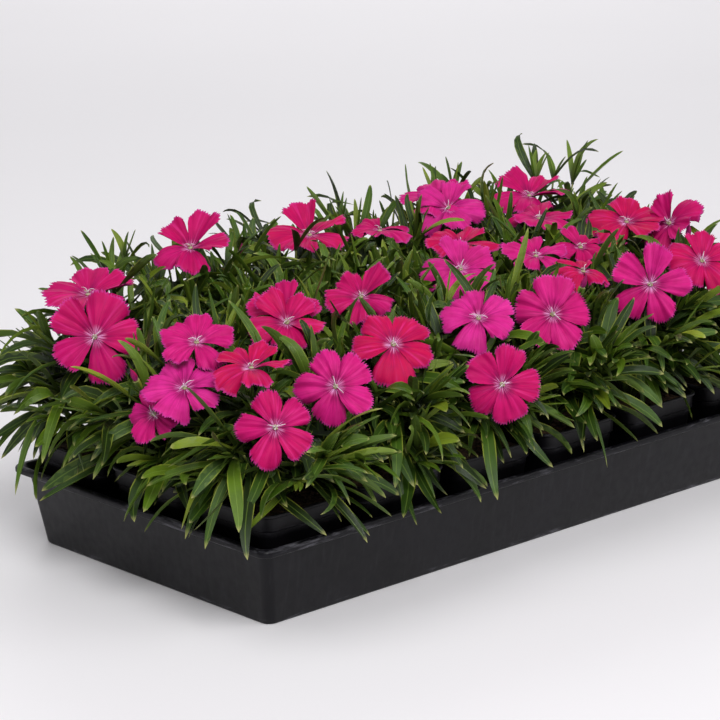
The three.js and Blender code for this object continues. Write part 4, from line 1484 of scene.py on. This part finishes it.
@dataclass
class CellInsert:
    """The insert: thin-walled square cells with rolled rims, joined by strips."""

    name: str = "cell_sheet"
    rim_half: float = 40.0
    top_half: float = 38.8
    base_half: float = 29.0
    base: float = 2.3
    corner: float = 7.92
    corner_steps: int = 6
    bevel: float = 0.3
    wall: float = 0.9
    strip_size: tuple[float, float, float] = (15.4, 30.0, 1.4)
    strip_level: float = 59.3
    strip_bevel: float = 0.5

    def rings(self) -> list[Ring]:
        """Gives one cell's outlines from its outer underside to its inner floor.

        Returns:
            The outlines in order.
        """
        top = PLAN.cell_top
        # Each outline's half size, and its height.
        half_z = (
            (self.base_half, self.base), (self.top_half - 1.6, top - 12.5),
            (self.top_half - 0.4, top - 11.8), (self.top_half, top - 2.6),
            (self.rim_half - 0.3, top - 2.4), (self.rim_half, top - 1.6),
            (self.rim_half - 0.2, top - 0.4), (self.rim_half - 0.8, top),
            (self.top_half - 0.4, top - 0.2), (self.top_half - self.wall, top - 1.2),
            (self.top_half - self.wall - 0.5, top - 11.6),
            (self.base_half - self.wall, self.base + self.wall))
        return [Ring(half, half, z) for half, z in half_z]

    def strip(self, centre: np.ndarray, along_x: bool) -> bpy.types.Object:
        """Makes one strip between two cells.

        Args:
            centre: its middle.
            along_x: True where it joins neighbours along the tray.

        Returns:
            The strip, with soft edges.
        """
        deselect()
        bpy.ops.mesh.primitive_cube_add(size=1, location=tuple(centre * MM))
        strip = bpy.context.object
        long, wide, thick = self.strip_size
        strip.scale = [side * MM for side in ((long, wide) if along_x else (wide, long))] + [
            thick * MM]
        settle()
        shape_with(strip, "BEVEL", width=self.strip_bevel * MM, segments=2)
        return strip

    def build(self, plastic: bpy.types.Material) -> bpy.types.Object:
        """Makes the insert: one cell, copied to every place, and the strips.

        Args:
            plastic: the material.

        Returns:
            The insert.
        """
        cell = Moulding("cell", self.corner, self.rings(), self.corner_steps, self.bevel).build()
        made = []
        for row in range(PLAN.rows):
            for place in range(PLAN.across):
                spot = PLAN.plant(row, place) * LEVEL
                made.append(copied(cell))
                made[-1].location = tuple(spot * MM)
                half = np.array([PLAN.pitch / 2, 0, self.strip_level])
                if row + 1 < PLAN.rows:
                    made.append(self.strip(spot + half, True))
                if place + 1 < PLAN.across:
                    made.append(self.strip(spot + half[[1, 0, 2]], False))
        bpy.data.objects.remove(cell)
        insert = joined(made, self.name, plastic)
        settle()
        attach(insert, BODY)
        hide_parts("cell_insert")
        return insert


@dataclass
class SoilBed:
    """The soil in one cell: a block with a crumbly, uneven top and the hole of the crown.

    round_from is how far out its corners start to draw in, as a share of its half width.
    """

    row: int
    place: int
    half: float = 36.6
    base_half: float = 28.0
    base: float = 4.0
    cuts: int = 22
    relief: float = 1.7
    edge_drop: float = 1.5
    round_from: float = 1.16
    round_by: float = 0.42
    lump_waves: tuple[float, float] = (0.21, 0.17)
    hole_depth: float = 5.0
    hole_radius: float = 7.0
    side_step: float = 2.0
    crumbs: int = 46
    crumb_sizes: Range = Range(0.7, 1.5)
    crumb_widths: Range = Range(0.6, 0.5)
    crumb_flatness: float = 0.7
    crumb_reach: float = 33.0
    crumb_levels: Range = Range(-0.3, 0.8)
    smooth_angle: float = math.radians(35)

    def shape_top(self, bed: bpy.types.Object) -> None:
        """Rounds the corners of the flat grid, roughens it and sinks the crown's hole.

        Args:
            bed: the grid, at the origin.
        """
        for vertex in bed.data.vertices:
            x, y = vertex.co.x / MM, vertex.co.y / MM
            rounding = max(abs(x), abs(y)) / self.half
            corner = max(0.0, math.hypot(x, y) / self.half - self.round_from)
            x, y = x * (1 - self.round_by * corner), y * (1 - self.round_by * corner)
            wave_x, wave_y = self.lump_waves
            lump = 0.5 * math.sin(wave_x * x + self.row) * math.cos(wave_y * y + self.place)
            lump += 0.5 * swing(self.row, self.place, vertex.index, 60)
            rise = lump * self.relief * (1 - rounding**6) - self.edge_drop * rounding**4
            hole = self.hole_depth * max(0.0, 1 - math.hypot(x, y) / self.hole_radius)
            vertex.co = Vector((x, y, PLAN.soil_top + rise - hole)) * MM

    def build(self, peat: bpy.types.Material) -> bpy.types.Object:
        """Makes the soil with loose crumbs pressed into its top.

        Args:
            peat: the material.

        Returns:
            The soil bed.
        """
        label = f"{self.row + 1}{'abc'[self.place]}"
        deselect()
        bpy.ops.mesh.primitive_grid_add(
            x_subdivisions=self.cuts, y_subdivisions=self.cuts, size=2 * self.half * MM,
            location=(0, 0, PLAN.soil_top * MM))
        bed = bpy.context.object
        settle()
        self.shape_top(bed)
        bpy.ops.object.mode_set(mode="EDIT")
        bpy.ops.mesh.select_all(action="SELECT")
        bpy.ops.mesh.select_mode(type="EDGE")
        bpy.ops.mesh.region_to_loop()
        bpy.ops.mesh.extrude_edges_move(TRANSFORM_OT_translate={
            "value": (0, 0, -(PLAN.soil_top - self.base - self.side_step) * MM)})
        scale = self.base_half / self.half
        bpy.ops.transform.resize(value=(scale, scale, 0), center_override=(0, 0, self.base * MM))
        bpy.ops.mesh.edge_face_add()
        bpy.ops.mesh.select_all(action="SELECT")
        bpy.ops.mesh.normals_make_consistent(inside=False)
        bpy.ops.object.mode_set(mode="OBJECT")
        bed = joined([bed, *self.loose_crumbs()], f"soil_bed_{label}", peat)
        bed.location = tuple(PLAN.plant(self.row, self.place) * LEVEL * MM)
        settle()
        bpy.ops.object.shade_smooth_by_angle(angle=self.smooth_angle)
        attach(bed, BODY)
        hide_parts(f"soil_{label}")
        return bed

    def loose_crumbs(self) -> list[bpy.types.Object]:
        """Makes the crumbs, one modelled and the rest copied.

        Returns:
            The crumbs, each with its own mesh.
        """
        deselect()
        bpy.ops.mesh.primitive_ico_sphere_add(subdivisions=1, radius=MM)
        crumb = bpy.context.object
        made = []
        for index in range(self.crumbs):
            key = (self.row, self.place, index)
            size = self.crumb_sizes.pick(*key, 61)
            turn = Matrix.Rotation(ANY_TURN * draw(*key, 62), 4, "Z")
            sizes = Matrix.Diagonal((size, size * self.crumb_widths.pick(*key, 63),
                                     size * self.crumb_flatness, 1))
            x, y = self.crumb_reach * swing(*key, 64), self.crumb_reach * swing(*key, 65)
            level = PLAN.soil_top + self.crumb_levels.pick(*key, 66)
            made.append(copied(crumb))
            made[-1].data.transform(Matrix.Translation(Vector((x, y, level)) * MM) @ turn @ sizes)
        bpy.data.objects.remove(crumb)
        return made


# ------------------------------------------------------------------ growing pieces


@dataclass
class Stalk:
    """A flower's stalk and calyx: from inside the plant up to the corolla or the bud.

    depth is how far the calyx ends behind the corolla's middle. Each of the small leaf pairs has
    its share of the stalk and its length.
    """

    flower: Flower
    number: int
    depth: float
    calyx_length: float = 12.0
    calyx_radius: float = 2.7
    calyx_shares: tuple[float, ...] = (0.0, 0.08, 0.25, 0.5, 0.75, 1.0)
    calyx_radii: tuple[float, ...] = (0.45, 0.68, 0.86, 0.98, 1.0, 0.92)
    calyx_steps: int = 13
    calyx_sink: float = 1.5
    teeth: int = 5
    tooth: float = 1.0
    tooth_root: float = 1.1
    root_level: float = 98.0
    root_share: float = 0.42
    root_reach: float = 11.0
    neck: float = 14.0
    least_rise: float = 12.0
    lean_back: float = 0.2
    steps: int = 9
    radii: tuple[float, float] = (1.25, 0.95)
    tone: float = 0.45
    pairs: tuple[tuple[float, int], ...] = ((0.55, 26), (0.8, 15))
    pair_lengths: Range = Range(0.8, 0.4)
    pair_widths: Range = Range(2.6, 1.2)
    pair_tones: Range = Range(0.4, 0.4)
    pair_lean: float = 0.45
    pair_droop: float = 0.12
    pair_twist: float = 0.4
    pair_keel: float = 0.35
    bract_count: int = 4
    bract_lengths: Range = Range(11.0, 5.0)
    bract_leans: tuple[float, float] = (0.62, 0.42)
    bract_width: float = 2.4
    bract_droop: float = 0.02
    bract_start: float = 1.2
    bract_keel: float = 0.3
    bud_ends: tuple[float, float] = (-4.5, 5.5)
    bud_radii: tuple[float, ...] = (0.7, 0.84, 0.86, 0.8, 0.66, 0.46, 0.26, 0.05)
    green: float = 0.5
    open_depth: ClassVar[float] = 1.65
    bud_depth: ClassVar[float] = 4.0

    def grow(self, bunch: Bunch, tube: Template, blade: Template, calyx: Template) -> None:
        """Adds the stalk, its small leaves, the calyx and its bracts to a bunch.

        Args:
            bunch: the plant row's bunch.
            tube: a round bar.
            blade: a leaf.
            calyx: a round bar with an even number of sides.
        """
        centre, facing = self.flower.centre(), self.flower.direction()
        top = centre - facing * self.depth
        foot = top - facing * self.calyx_length
        path = self.path(centre, foot, facing)
        bunch.add(tube, bend_tube(tube, path, np.linspace(*self.radii, self.steps)), self.tone,
                  Skin.LEAF)
        for at, length in self.pairs:
            step = int(at * (self.steps - 1))
            along = unit(path[step + 1] - path[step])
            for side in (0, 1):
                key = (self.number, int(at * 100), side, 70)
                angle = math.pi * side + ANY_TURN * draw(*key[:2], 71)
                aside = np.array([math.cos(angle), math.sin(angle), 0.0])
                leaf = Blade(path[step], unit(along + aside * self.pair_lean),
                             length * self.pair_lengths.pick(*key),
                             self.pair_widths.pick(*key, 1), self.pair_droop, 0.0,
                             self.pair_twist * swing(*key, 2), self.pair_tones.pick(*key, 3))
                bunch.add(blade, bend_blade(blade, leaf, self.pair_keel), leaf.tone, Skin.LEAF)
        self.calyx(bunch, calyx, foot, top)
        self.bracts(bunch, blade, foot, facing)

    def path(self, centre: np.ndarray, foot: np.ndarray, facing: np.ndarray) -> np.ndarray:
        """Leads the stalk from inside the plant to the calyx, straight behind it at the end.

        Args:
            centre: the corolla's middle.
            foot: where the calyx sits on the stalk.
            facing: the flower's direction.

        Returns:
            Points from the root to just inside the calyx.
        """
        plant = PLAN.plant(*self.flower.plant) * LEVEL
        outward = centre * LEVEL - plant
        far = max(1e-6, float(np.linalg.norm(outward)))
        root = plant + UP * self.root_level + outward * min(self.root_share, self.root_reach / far)
        bend = foot - facing * self.neck
        bend[2] = max(bend[2], root[2] + self.least_rise)
        bend = bend * (1 - self.lean_back) + root * self.lean_back
        return arc(root, bend, foot + facing * self.calyx_sink, np.linspace(0, 1, self.steps))

    def calyx(self, bunch: Bunch, template: Template, foot: np.ndarray, top: np.ndarray) -> None:
        """Adds the tubular calyx with its five teeth.

        Args:
            bunch: the plant row's bunch.
            template: a round bar with ten sides.
            foot: where the calyx sits on the stalk.
            top: where it meets the corolla.
        """
        fine = np.linspace(0, 1, self.calyx_steps)
        radii = self.calyx_radius * np.interp(fine, self.calyx_shares, self.calyx_radii)
        bent = bend_tube(template, foot[None] + (top - foot)[None] * fine[:, None], radii)
        ends = template.points[:, 1] > 0.99
        angle = np.arctan2(template.points[ends, 2], template.points[ends, 0])
        drop = self.tooth_root - self.tooth * np.cos(self.teeth * angle)
        bent[ends] -= self.flower.direction()[None] * drop[:, None]
        bunch.add(template, bent, self.green, Skin.LEAF)

    def bracts(self, bunch: Bunch, blade: Template, foot: np.ndarray, facing: np.ndarray) -> None:
        """Adds the small pointed bracts round the calyx's foot.

        Args:
            bunch: the plant row's bunch.
            blade: a leaf.
            foot: where the calyx sits on the stalk.
            facing: the flower's direction.
        """
        side = unit(np.cross(UP, facing) + np.array([1e-6, 0, 0]))
        upward = np.cross(facing, side)
        for index in range(self.bract_count):
            angle = math.pi * (index / 2 + 0.2 * draw(self.number, index, 73))
            aside = side * math.cos(angle) + upward * math.sin(angle)
            leaf = Blade(foot + aside * self.bract_start,
                         unit(facing + aside * self.bract_leans[index % 2]),
                         self.bract_lengths.pick(self.number, index, 74), self.bract_width,
                         self.bract_droop)
            bunch.add(blade, bend_blade(blade, leaf, self.bract_keel), self.green, Skin.LEAF)

    def bud(self, bunch: Bunch, tube: Template) -> None:
        """Adds the rolled petals of a closed bud.

        Args:
            bunch: the plant row's bunch.
            tube: a round bar.
        """
        centre, facing = self.flower.centre(), self.flower.direction()
        shares = np.linspace(*self.bud_ends, len(self.bud_radii))
        path = centre[None] + facing[None] * shares[:, None]
        radii = self.calyx_radius * np.array(self.bud_radii)
        bunch.add(tube, bend_tube(tube, path, radii), self.flower.tint.value, Skin.PETAL)


@dataclass
class FoliageRow:
    """The foliage of the plants in one row across the tray, with their stalks and calyces."""

    row: int
    clear: Clearance
    pairs: PairLeaves = PairLeaves()
    tips: TipLeaves = TipLeaves()
    skirt: SkirtLeaves = SkirtLeaves()
    shoots: int = 19
    stem_steps: int = 9
    stem_radii: tuple[float, float] = (1.6, 0.8)
    stem_depth: float = 6.0
    stem_tone: float = 0.35

    def stand(self) -> list[Shoot]:
        """Sets up the shoots of the row's plants.

        Returns:
            The shoots that show.
        """
        numbers = {Stand.RING: range(Shoot.ring), Stand.FILL: range(Shoot.ring, self.shoots),
                   Stand.LOW: range(Shoot.first_low, Shoot.first_low + Shoot.lows)}
        shoots = [Shoot(self.row, place, index, stand) for place in range(PLAN.across)
                  for stand, indices in numbers.items() for index in indices]
        shoots += [Shoot(self.row, PLAN.across - 1, index, Stand.TALL)
                   for index, (row, *_) in enumerate(TALL_SHOOTS, start=Shoot.first_tall)
                   if row == self.row]
        return [shoot for shoot in shoots if shoot.is_wanted()]

    def blades(self, shoots: Sequence[Shoot]) -> list[Blade]:
        """Grows every leaf of the row; a low shoot goes without its last pair.

        Args:
            shoots: the row's shoots.

        Returns:
            The leaves that found room.
        """
        grown: list[Blade | None] = []
        for shoot in shoots:
            for number in range(len(PAIRS) - (shoot.stand is Stand.LOW)):
                grown += [self.pairs.grow(shoot, number, side, self.clear) for side in (0, 1)]
            grown += [self.tips.grow(shoot, k, self.clear) for k in range(self.tips.count)]
        for place in range(PLAN.across):
            grown += [self.skirt.grow(self.row, place, k, self.clear)
                      for k in range(self.skirt.count)]
        return [blade for blade in grown if blade]

    def build(self, blade: Template, tube: Template, calyx: Template,
              skins: Sequence[bpy.types.Material]) -> bpy.types.Object:
        """Makes the foliage of the row.

        Args:
            blade: a leaf.
            tube: a round bar.
            calyx: a round bar with ten sides.
            skins: materials in the order of Skin.

        Returns:
            The foliage as one piece.
        """
        bunch = Bunch()
        shoots = self.stand()
        for leaf in self.blades(shoots):
            bunch.add(blade, bend_blade(blade, leaf), leaf.tone, Skin.LEAF)
        radii = np.linspace(*self.stem_radii, self.stem_steps)
        for shoot in shoots:
            path = arc(*shoot.ends(), np.linspace(0, 1, self.stem_steps))
            path[0, 2] -= self.stem_depth
            bunch.add(tube, bend_tube(tube, path, radii), self.stem_tone, Skin.LEAF)
        for number, flower in enumerate((*FLOWERS, *BUDS)):
            if flower.plant[0] != self.row:
                continue
            closed = number >= len(FLOWERS)
            stalk = Stalk(flower, number, Stalk.bud_depth if closed else Stalk.open_depth)
            stalk.grow(bunch, tube, blade, calyx)
            if closed:
                stalk.bud(bunch, tube)
        piece = bunch.piece(f"leafy_row_{self.row + 1}", skins)
        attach(piece, BODY)
        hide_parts(f"foliage_row_{self.row + 1}")
        return piece


@dataclass(frozen=True)
class Thread:
    """A style or a stamen: its length, how far it leans out, its radii and its tone."""

    length: float
    lean: float
    radii: tuple[float, ...]
    tone: float


STYLE = Thread(6.2, 0.9, (0.24, 0.24, 0.24, 0.24, 0.24, 0.1), 0.0)
STAMEN = Thread(3.6, 0.5, (0.15, 0.15, 0.15, 0.15, 0.4, 0.42), 0.9)
THREADS = (STYLE, STYLE, STAMEN, STAMEN, STAMEN, STAMEN, STAMEN)


@dataclass
class Corolla:
    """One open flower: five toothed petals, two curled styles and a few stamens.

    Sizes along a petal are shares of its length, sizes across it shares of its half width, and
    all that rises or falls is in millimetres. A petal is flat but for its folds: it rises out of
    the throat, ruffles and crimps towards the rim, and its corners and rim hang back.
    """

    flower: Flower
    key: int
    petals: int = 5
    columns: int = PetalTemplate.across
    throat: float = 1.2
    thickness: float = 0.32
    upper_rise: float = 3.5
    lower_fall: float = 6.0
    turn_swing: float = 0.05
    lengths: Range = Range(0.9, 0.1)
    longers: Range = Range(0.95, 0.09)
    halves: tuple[float, float] = (0.54, 0.04)
    wideners: Range = Range(1.03, 0.18)
    claws: Range = Range(0.04, 0.14)
    rises: tuple[float, float] = (3.2, 4.5)
    tilts: tuple[float, float] = (2.4, 2.0)
    rim: float = 1.06
    bow: float = 0.11
    teeth: Range = Range(0.03, 0.075)
    tooth_root: float = 0.84
    uneven: float = 0.035
    lobe: float = 0.035
    lobe_wave: float = 4.3
    claw: float = 1.1
    ragged: float = 0.03
    rounded: float = 0.05
    bowl: float = 1.3
    dip: float = 1.2
    ruffle: float = 2.4
    crimp: float = 1.25
    frill: float = 0.55
    groove: float = 0.9
    groove_width: float = 0.14
    corner_fall: float = 3.0
    rim_fall: float = 3.4
    cup_heights: tuple[float, float] = (-1.2, 0.5)
    cup_radii: tuple[float, ...] = (1.6, 2.0, 1.7, 0.5)
    cup_tone: float = 0.4
    thread_turn: float = 2.6
    thread_sizes: Range = Range(0.8, 0.4)
    tones: tuple[float, float, float] = (0.1, 0.8, 0.08)

    def frame(self) -> tuple[np.ndarray, np.ndarray, np.ndarray]:
        """Gives the directions to the side, upward on the face, and out of the face."""
        out = self.flower.direction()
        side = unit(np.cross(UP, out))
        return side, np.cross(out, side), out

    def middle(self, index: int) -> float:
        """Gives the angle of a petal's midrib, from straight up on the face."""
        even = math.radians(self.flower.turn) + FULL_TURN * index / self.petals
        return even + self.turn_swing * swing(self.key, index, 14)

    def outline(self, index: int, x: np.ndarray, y: np.ndarray) -> tuple[np.ndarray, np.ndarray]:
        """Lays one petal out on the flower's face.

        Args:
            index: the petal's number.
            x: places across the sheet, from -1 to 1.
            y: places along it, from 0 to 1.

        Returns:
            The angle and the distance from the flower's middle, for each place.
        """
        key = (self.key, index)
        length = self.flower.size / 2 * self.lengths.pick(*key, 15) * self.longers.pick(*key, 29)
        teeth = np.array([self.teeth.pick(*key, k, 24) * (k % 2) + self.uneven * draw(*key, k, 25)
                          for k in range(self.columns + 1)])
        columns = np.rint((x + 1) / 2 * self.columns).astype(int)
        lobes = self.lobe * np.sin(self.lobe_wave * x + ANY_TURN * draw(*key, 26))
        reach = length * (self.rim - self.bow * x**2 - self.bow * x**8
                          + lobes * smooth(0.3, 1.0, y)
                          - teeth[columns] * smooth(self.tooth_root, 1.0, y))
        half, half_swing = self.halves
        half = (half + half_swing * swing(*key, 18)) * self.wideners.pick(self.key, 19)
        claw = self.claw - self.claws.pick(*key, 33) * smooth(0.3, 0.85, y)
        ragged = 1 + self.ragged * np.sin(19 * y + 6 * x) * np.abs(x) ** 6 * y
        rounded = 1 - self.rounded * smooth(0.45, 1.0, y) * np.abs(x)
        angle = self.middle(index) + half * x * claw * ragged * rounded
        return angle, self.throat + (reach - self.throat) * y

    def relief(self, index: int, x: np.ndarray, y: np.ndarray) -> np.ndarray:
        """Gives the height of one petal's front over the flower's face.

        Args:
            index: the petal's number.
            x: places across the sheet, from -1 to 1.
            y: places along it, from 0 to 1.

        Returns:
            The heights, millimetres.
        """
        key = (self.key, index)
        upright = math.cos(self.middle(index))
        level = math.sin(math.radians(self.flower.lift))
        rise = self.rises[0] * swing(*key, 16) + self.rises[1] * swing(*key, 30)
        rise += (self.flower.fold + self.upper_rise) * max(0.0, upright)
        tilt = self.tilts[0] * swing(*key, 17) + self.tilts[1] * swing(*key, 31) + 1.3
        hanging = self.lower_fall * draw(*key, 32) * max(0.0, -upright) * (1 - level)
        height = rise * y**1.4 + tilt * x * y - hanging * y**2
        # A shallow bowl that dips at the throat.
        height += self.bowl * np.sin(math.pi * y) - self.dip * (1 - y) ** 3
        # One broad ruffle, then crimps and a fine frill, all growing towards the rim.
        height += self.ruffle * swing(*key, 27) * np.sin(3.1 * x + 2 * draw(*key, 20)) * y**2
        height += self.crimp * np.sin(7.0 * x + 5 * draw(*key, 21)) * y**2.5
        height += self.frill * np.sin(14 * x + 5 * draw(*key, 28) + 3 * y) * y**1.5
        # The sunk midrib, then the corners and the rim, which hang back.
        height -= self.groove * np.exp(-(x / self.groove_width) ** 2) * np.sin(math.pi * y**0.8)
        height -= self.corner_fall * draw(*key, 22) * np.abs(x) ** 3 * y**2
        return height - self.rim_fall * draw(*key, 23) * y**5

    def petal(self, index: int, template: Template) -> np.ndarray:
        """Bends one petal.

        Args:
            index: the petal's number.
            template: the petal sheet.

        Returns:
            Its points on the flower, millimetres.
        """
        x, y, z = template.points.T
        angle, distance = self.outline(index, x, y)
        # The sheet thins to half towards the rim.
        height = self.relief(index, x, y) + z * self.thickness * (1 - 0.5 * y)
        side, upward, out = self.frame()
        flat = side[None] * np.sin(angle)[:, None] + upward[None] * np.cos(angle)[:, None]
        return self.flower.centre() + flat * distance[:, None] + out[None] * height[:, None]

    def heart(self, bunch: Bunch, tube: Template) -> None:
        """Adds the throat, the styles and the stamens.

        Args:
            bunch: the flower's bunch.
            tube: a round bar.
        """
        side, upward, out = self.frame()
        centre = self.flower.centre()
        heights = np.linspace(*self.cup_heights, len(self.cup_radii))
        cup = centre[None] + out[None] * heights[:, None]
        bunch.add(tube, bend_tube(tube, cup, np.array(self.cup_radii)), self.cup_tone, Skin.STYLE)
        for index, thread in enumerate(THREADS):
            key = (self.key, index)
            angle = self.thread_turn * index + ANY_TURN * draw(self.key, 80)
            aside = side * math.cos(angle) + upward * math.sin(angle)
            long = thread.length * self.thread_sizes.pick(*key, 81)
            lean = thread.lean * self.thread_sizes.pick(*key, 82)
            tip = centre + out * long * 0.45 + aside * long * lean
            bend = centre + out * long * 0.75 + aside * long * 0.1
            path = arc(centre, bend, tip, np.linspace(0, 1, len(thread.radii)))
            bunch.add(tube, bend_tube(tube, path, np.array(thread.radii)),
                      thread.tone * draw(*key, 83), Skin.STYLE)

    def grow(self, bunch: Bunch, petal: Template, tube: Template) -> None:
        """Adds the whole corolla to a bunch.

        Args:
            bunch: the flower's bunch.
            petal: the petal sheet.
            tube: a round bar.
        """
        palest, span, varied = self.tones
        for index in range(self.petals):
            tone = self.flower.tint.value * span + palest + varied * swing(self.key, index, 84)
            bunch.add(petal, self.petal(index, petal), tone, Skin.PETAL)
        self.heart(bunch, tube)


@dataclass
class Blooms:
    """All open flowers, each a piece of its own, or two where they grow through each other."""

    petal: Template
    tube: Template
    beside_key: int = 100

    def build(self, skins: Sequence[bpy.types.Material]) -> list[bpy.types.Object]:
        """Makes the flowers.

        Args:
            skins: materials in the order of Skin.

        Returns:
            The flowers, in order.
        """
        groups: list[list[Corolla]] = []
        for flower in FLOWERS:
            if flower.beside:
                groups[-1].append(Corolla(flower, len(groups) - 1 + self.beside_key))
            else:
                groups.append([Corolla(flower, len(groups))])
        made = []
        for number, group in enumerate(groups, start=1):
            bunch = Bunch()
            for corolla in group:
                corolla.grow(bunch, self.petal, self.tube)
            piece = bunch.piece(f"corolla_{number:02d}", skins)
            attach(piece, BODY)
            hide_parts(f"bloom_{number:02d}")
            made.append(piece)
        return made


# ------------------------------------------------------------------ studio


@dataclass(frozen=True)
class Lamp:
    """One softbox."""

    name: str
    place: tuple[float, float, float]
    target: tuple[float, float, float]
    size: tuple[float, float]
    power: float


@dataclass
class Studio:
    """A pale sweep, soft lamps and the camera."""

    camera_place: tuple[float, float, float] = (-1.39658, -1.45367, 0.64921)
    yaw: float = 0.744385
    pitch: float = 0.260871
    roll: float = -0.0125015
    lens: float = 140.17
    clip: tuple[float, float] = (0.05, 30.0)
    floor_size: float = 24.0
    room_colour: str = "#EFEDF0"
    room_strength: float = 0.25
    lamps: tuple[Lamp, ...] = (
        Lamp("key_box", (-2.0, -3.4, 3.8), (0, 0, 0.1), (2.4, 2.4), 182),
        Lamp("fill_box", (2.6, -3.8, 3.2), (0, 0, 0.1), (3.8, 3.8), 96),
        Lamp("side_box", (-1.8, 0.6, 4.2), (0, 0, 0.1), (3.0, 3.0), 60),
        Lamp("back_box", (2.9, 3.2, 2.2), (2.9, 3.2, 0), (3.0, 3.0), 54),
    )

    def camera(self) -> None:
        """Sets up the camera."""
        forward = np.array([
            math.sin(self.yaw) * math.cos(self.pitch),
            math.cos(self.yaw) * math.cos(self.pitch),
            -math.sin(self.pitch),
        ])
        right = np.array([math.cos(self.yaw), -math.sin(self.yaw), 0.0])
        upward = np.cross(right, forward)
        side = right * math.cos(self.roll) + upward * math.sin(self.roll)
        top = upward * math.cos(self.roll) - right * math.sin(self.roll)
        data = bpy.data.cameras.new("camera")
        data.lens, data.sensor_width = self.lens, 36.0
        data.clip_start, data.clip_end = self.clip
        camera = bpy.data.objects.new("camera", data)
        bpy.context.collection.objects.link(camera)
        turn = Matrix((side, top, -forward)).transposed().to_4x4()
        camera.matrix_world = Matrix.Translation(self.camera_place) @ turn
        bpy.context.scene.camera = camera

    def sweep(self) -> None:
        """Makes the wide pale floor, which fills the whole view."""
        deselect()
        bpy.ops.mesh.primitive_plane_add(size=self.floor_size)
        floor = bpy.context.object
        floor.name = "sweep"
        finish = Finish("paper_sweep", 0.5, 1.45)
        here = finish.add("TexCoord").outputs["Object"]
        cloud = finish.add("TexNoise", {"Vector": here, "Scale": scale_for(900), "Detail": 2})
        colour = finish.add("ValToRGB", {0: cloud}, stops=[(0.3, "#F0EEF1"), (0.7, "#F3F1F4")])
        finish.feed(Base_Color=colour)
        floor.data.materials.append(finish.material)

    def light(self) -> None:
        """Hangs the softboxes and sets the pale surroundings."""
        for lamp in self.lamps:
            data = bpy.data.lights.new(lamp.name, "AREA")
            data.shape = "RECTANGLE"
            data.size, data.size_y = lamp.size
            data.energy = lamp.power
            hung = bpy.data.objects.new(lamp.name, data)
            bpy.context.collection.objects.link(hung)
            hung.location = lamp.place
            aim = Vector(lamp.target) - Vector(lamp.place)
            hung.rotation_mode = "QUATERNION"
            hung.rotation_quaternion = aim.to_track_quat("-Z", "Y")
        world = bpy.data.worlds.new("pale_room")
        world.use_nodes = True
        back = world.node_tree.nodes["Background"]
        back.inputs["Color"].default_value = linear(self.room_colour)
        back.inputs["Strength"].default_value = self.room_strength
        bpy.context.scene.world = world
        bpy.context.scene.view_settings.view_transform = "Standard"

    def build(self) -> None:
        """Sets up the whole studio."""
        self.camera()
        self.sweep()
        self.light()


# ------------------------------------------------------------------ the whole scene


def report(piece: bpy.types.Object) -> None:
    """Logs one finished piece."""
    triangles = sum(len(polygon.vertices) - 2 for polygon in piece.data.polygons)
    LOG.info("%s: %d triangles", piece.name, triangles)


def main() -> None:
    """Builds the tray and its plants over the frame, and the studio round them."""
    logging.basicConfig(level=logging.INFO, format="%(message)s", force=True)
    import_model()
    Studio().build()
    tray_plastic = FormedPlastic(
        "formed_tray_plastic", dark="#050408", light="#0B0A10", pale_mark_and_highlight="#605F66",
        roughness=0.4, wear_and_highlight_heights_mm=(58.2, 53.4, 1.4)).make()
    cell_plastic = FormedPlastic(
        "formed_cell_plastic", dark="#070608", light="#0D0C10", pale_mark_and_highlight="#38373C",
        roughness=0.36, wear_and_highlight_heights_mm=(77.2, 65.4)).make()
    peat = Peat().make()
    skins = [LeafSkin().make(), PetalSkin().make(), StyleSkin().make()]
    report(TrayShell().build(tray_plastic))
    report(CellInsert().build(cell_plastic))
    for row in range(PLAN.rows):
        for place in range(PLAN.across):
            report(SoilBed(row, place).build(peat))
    blade, petal = BladeTemplate().model(), PetalTemplate().model()
    tube = TubeTemplate(sides=5, rings=8).model()
    calyx = TubeTemplate(sides=10, rings=6).model()
    clear = Clearance()
    for row in range(PLAN.rows):
        report(FoliageRow(row, clear).build(blade, tube, calyx, skins))
    for piece in Blooms(petal, tube).build(skins):
        report(piece)
    deselect()


if __name__ == "__main__":
    main()
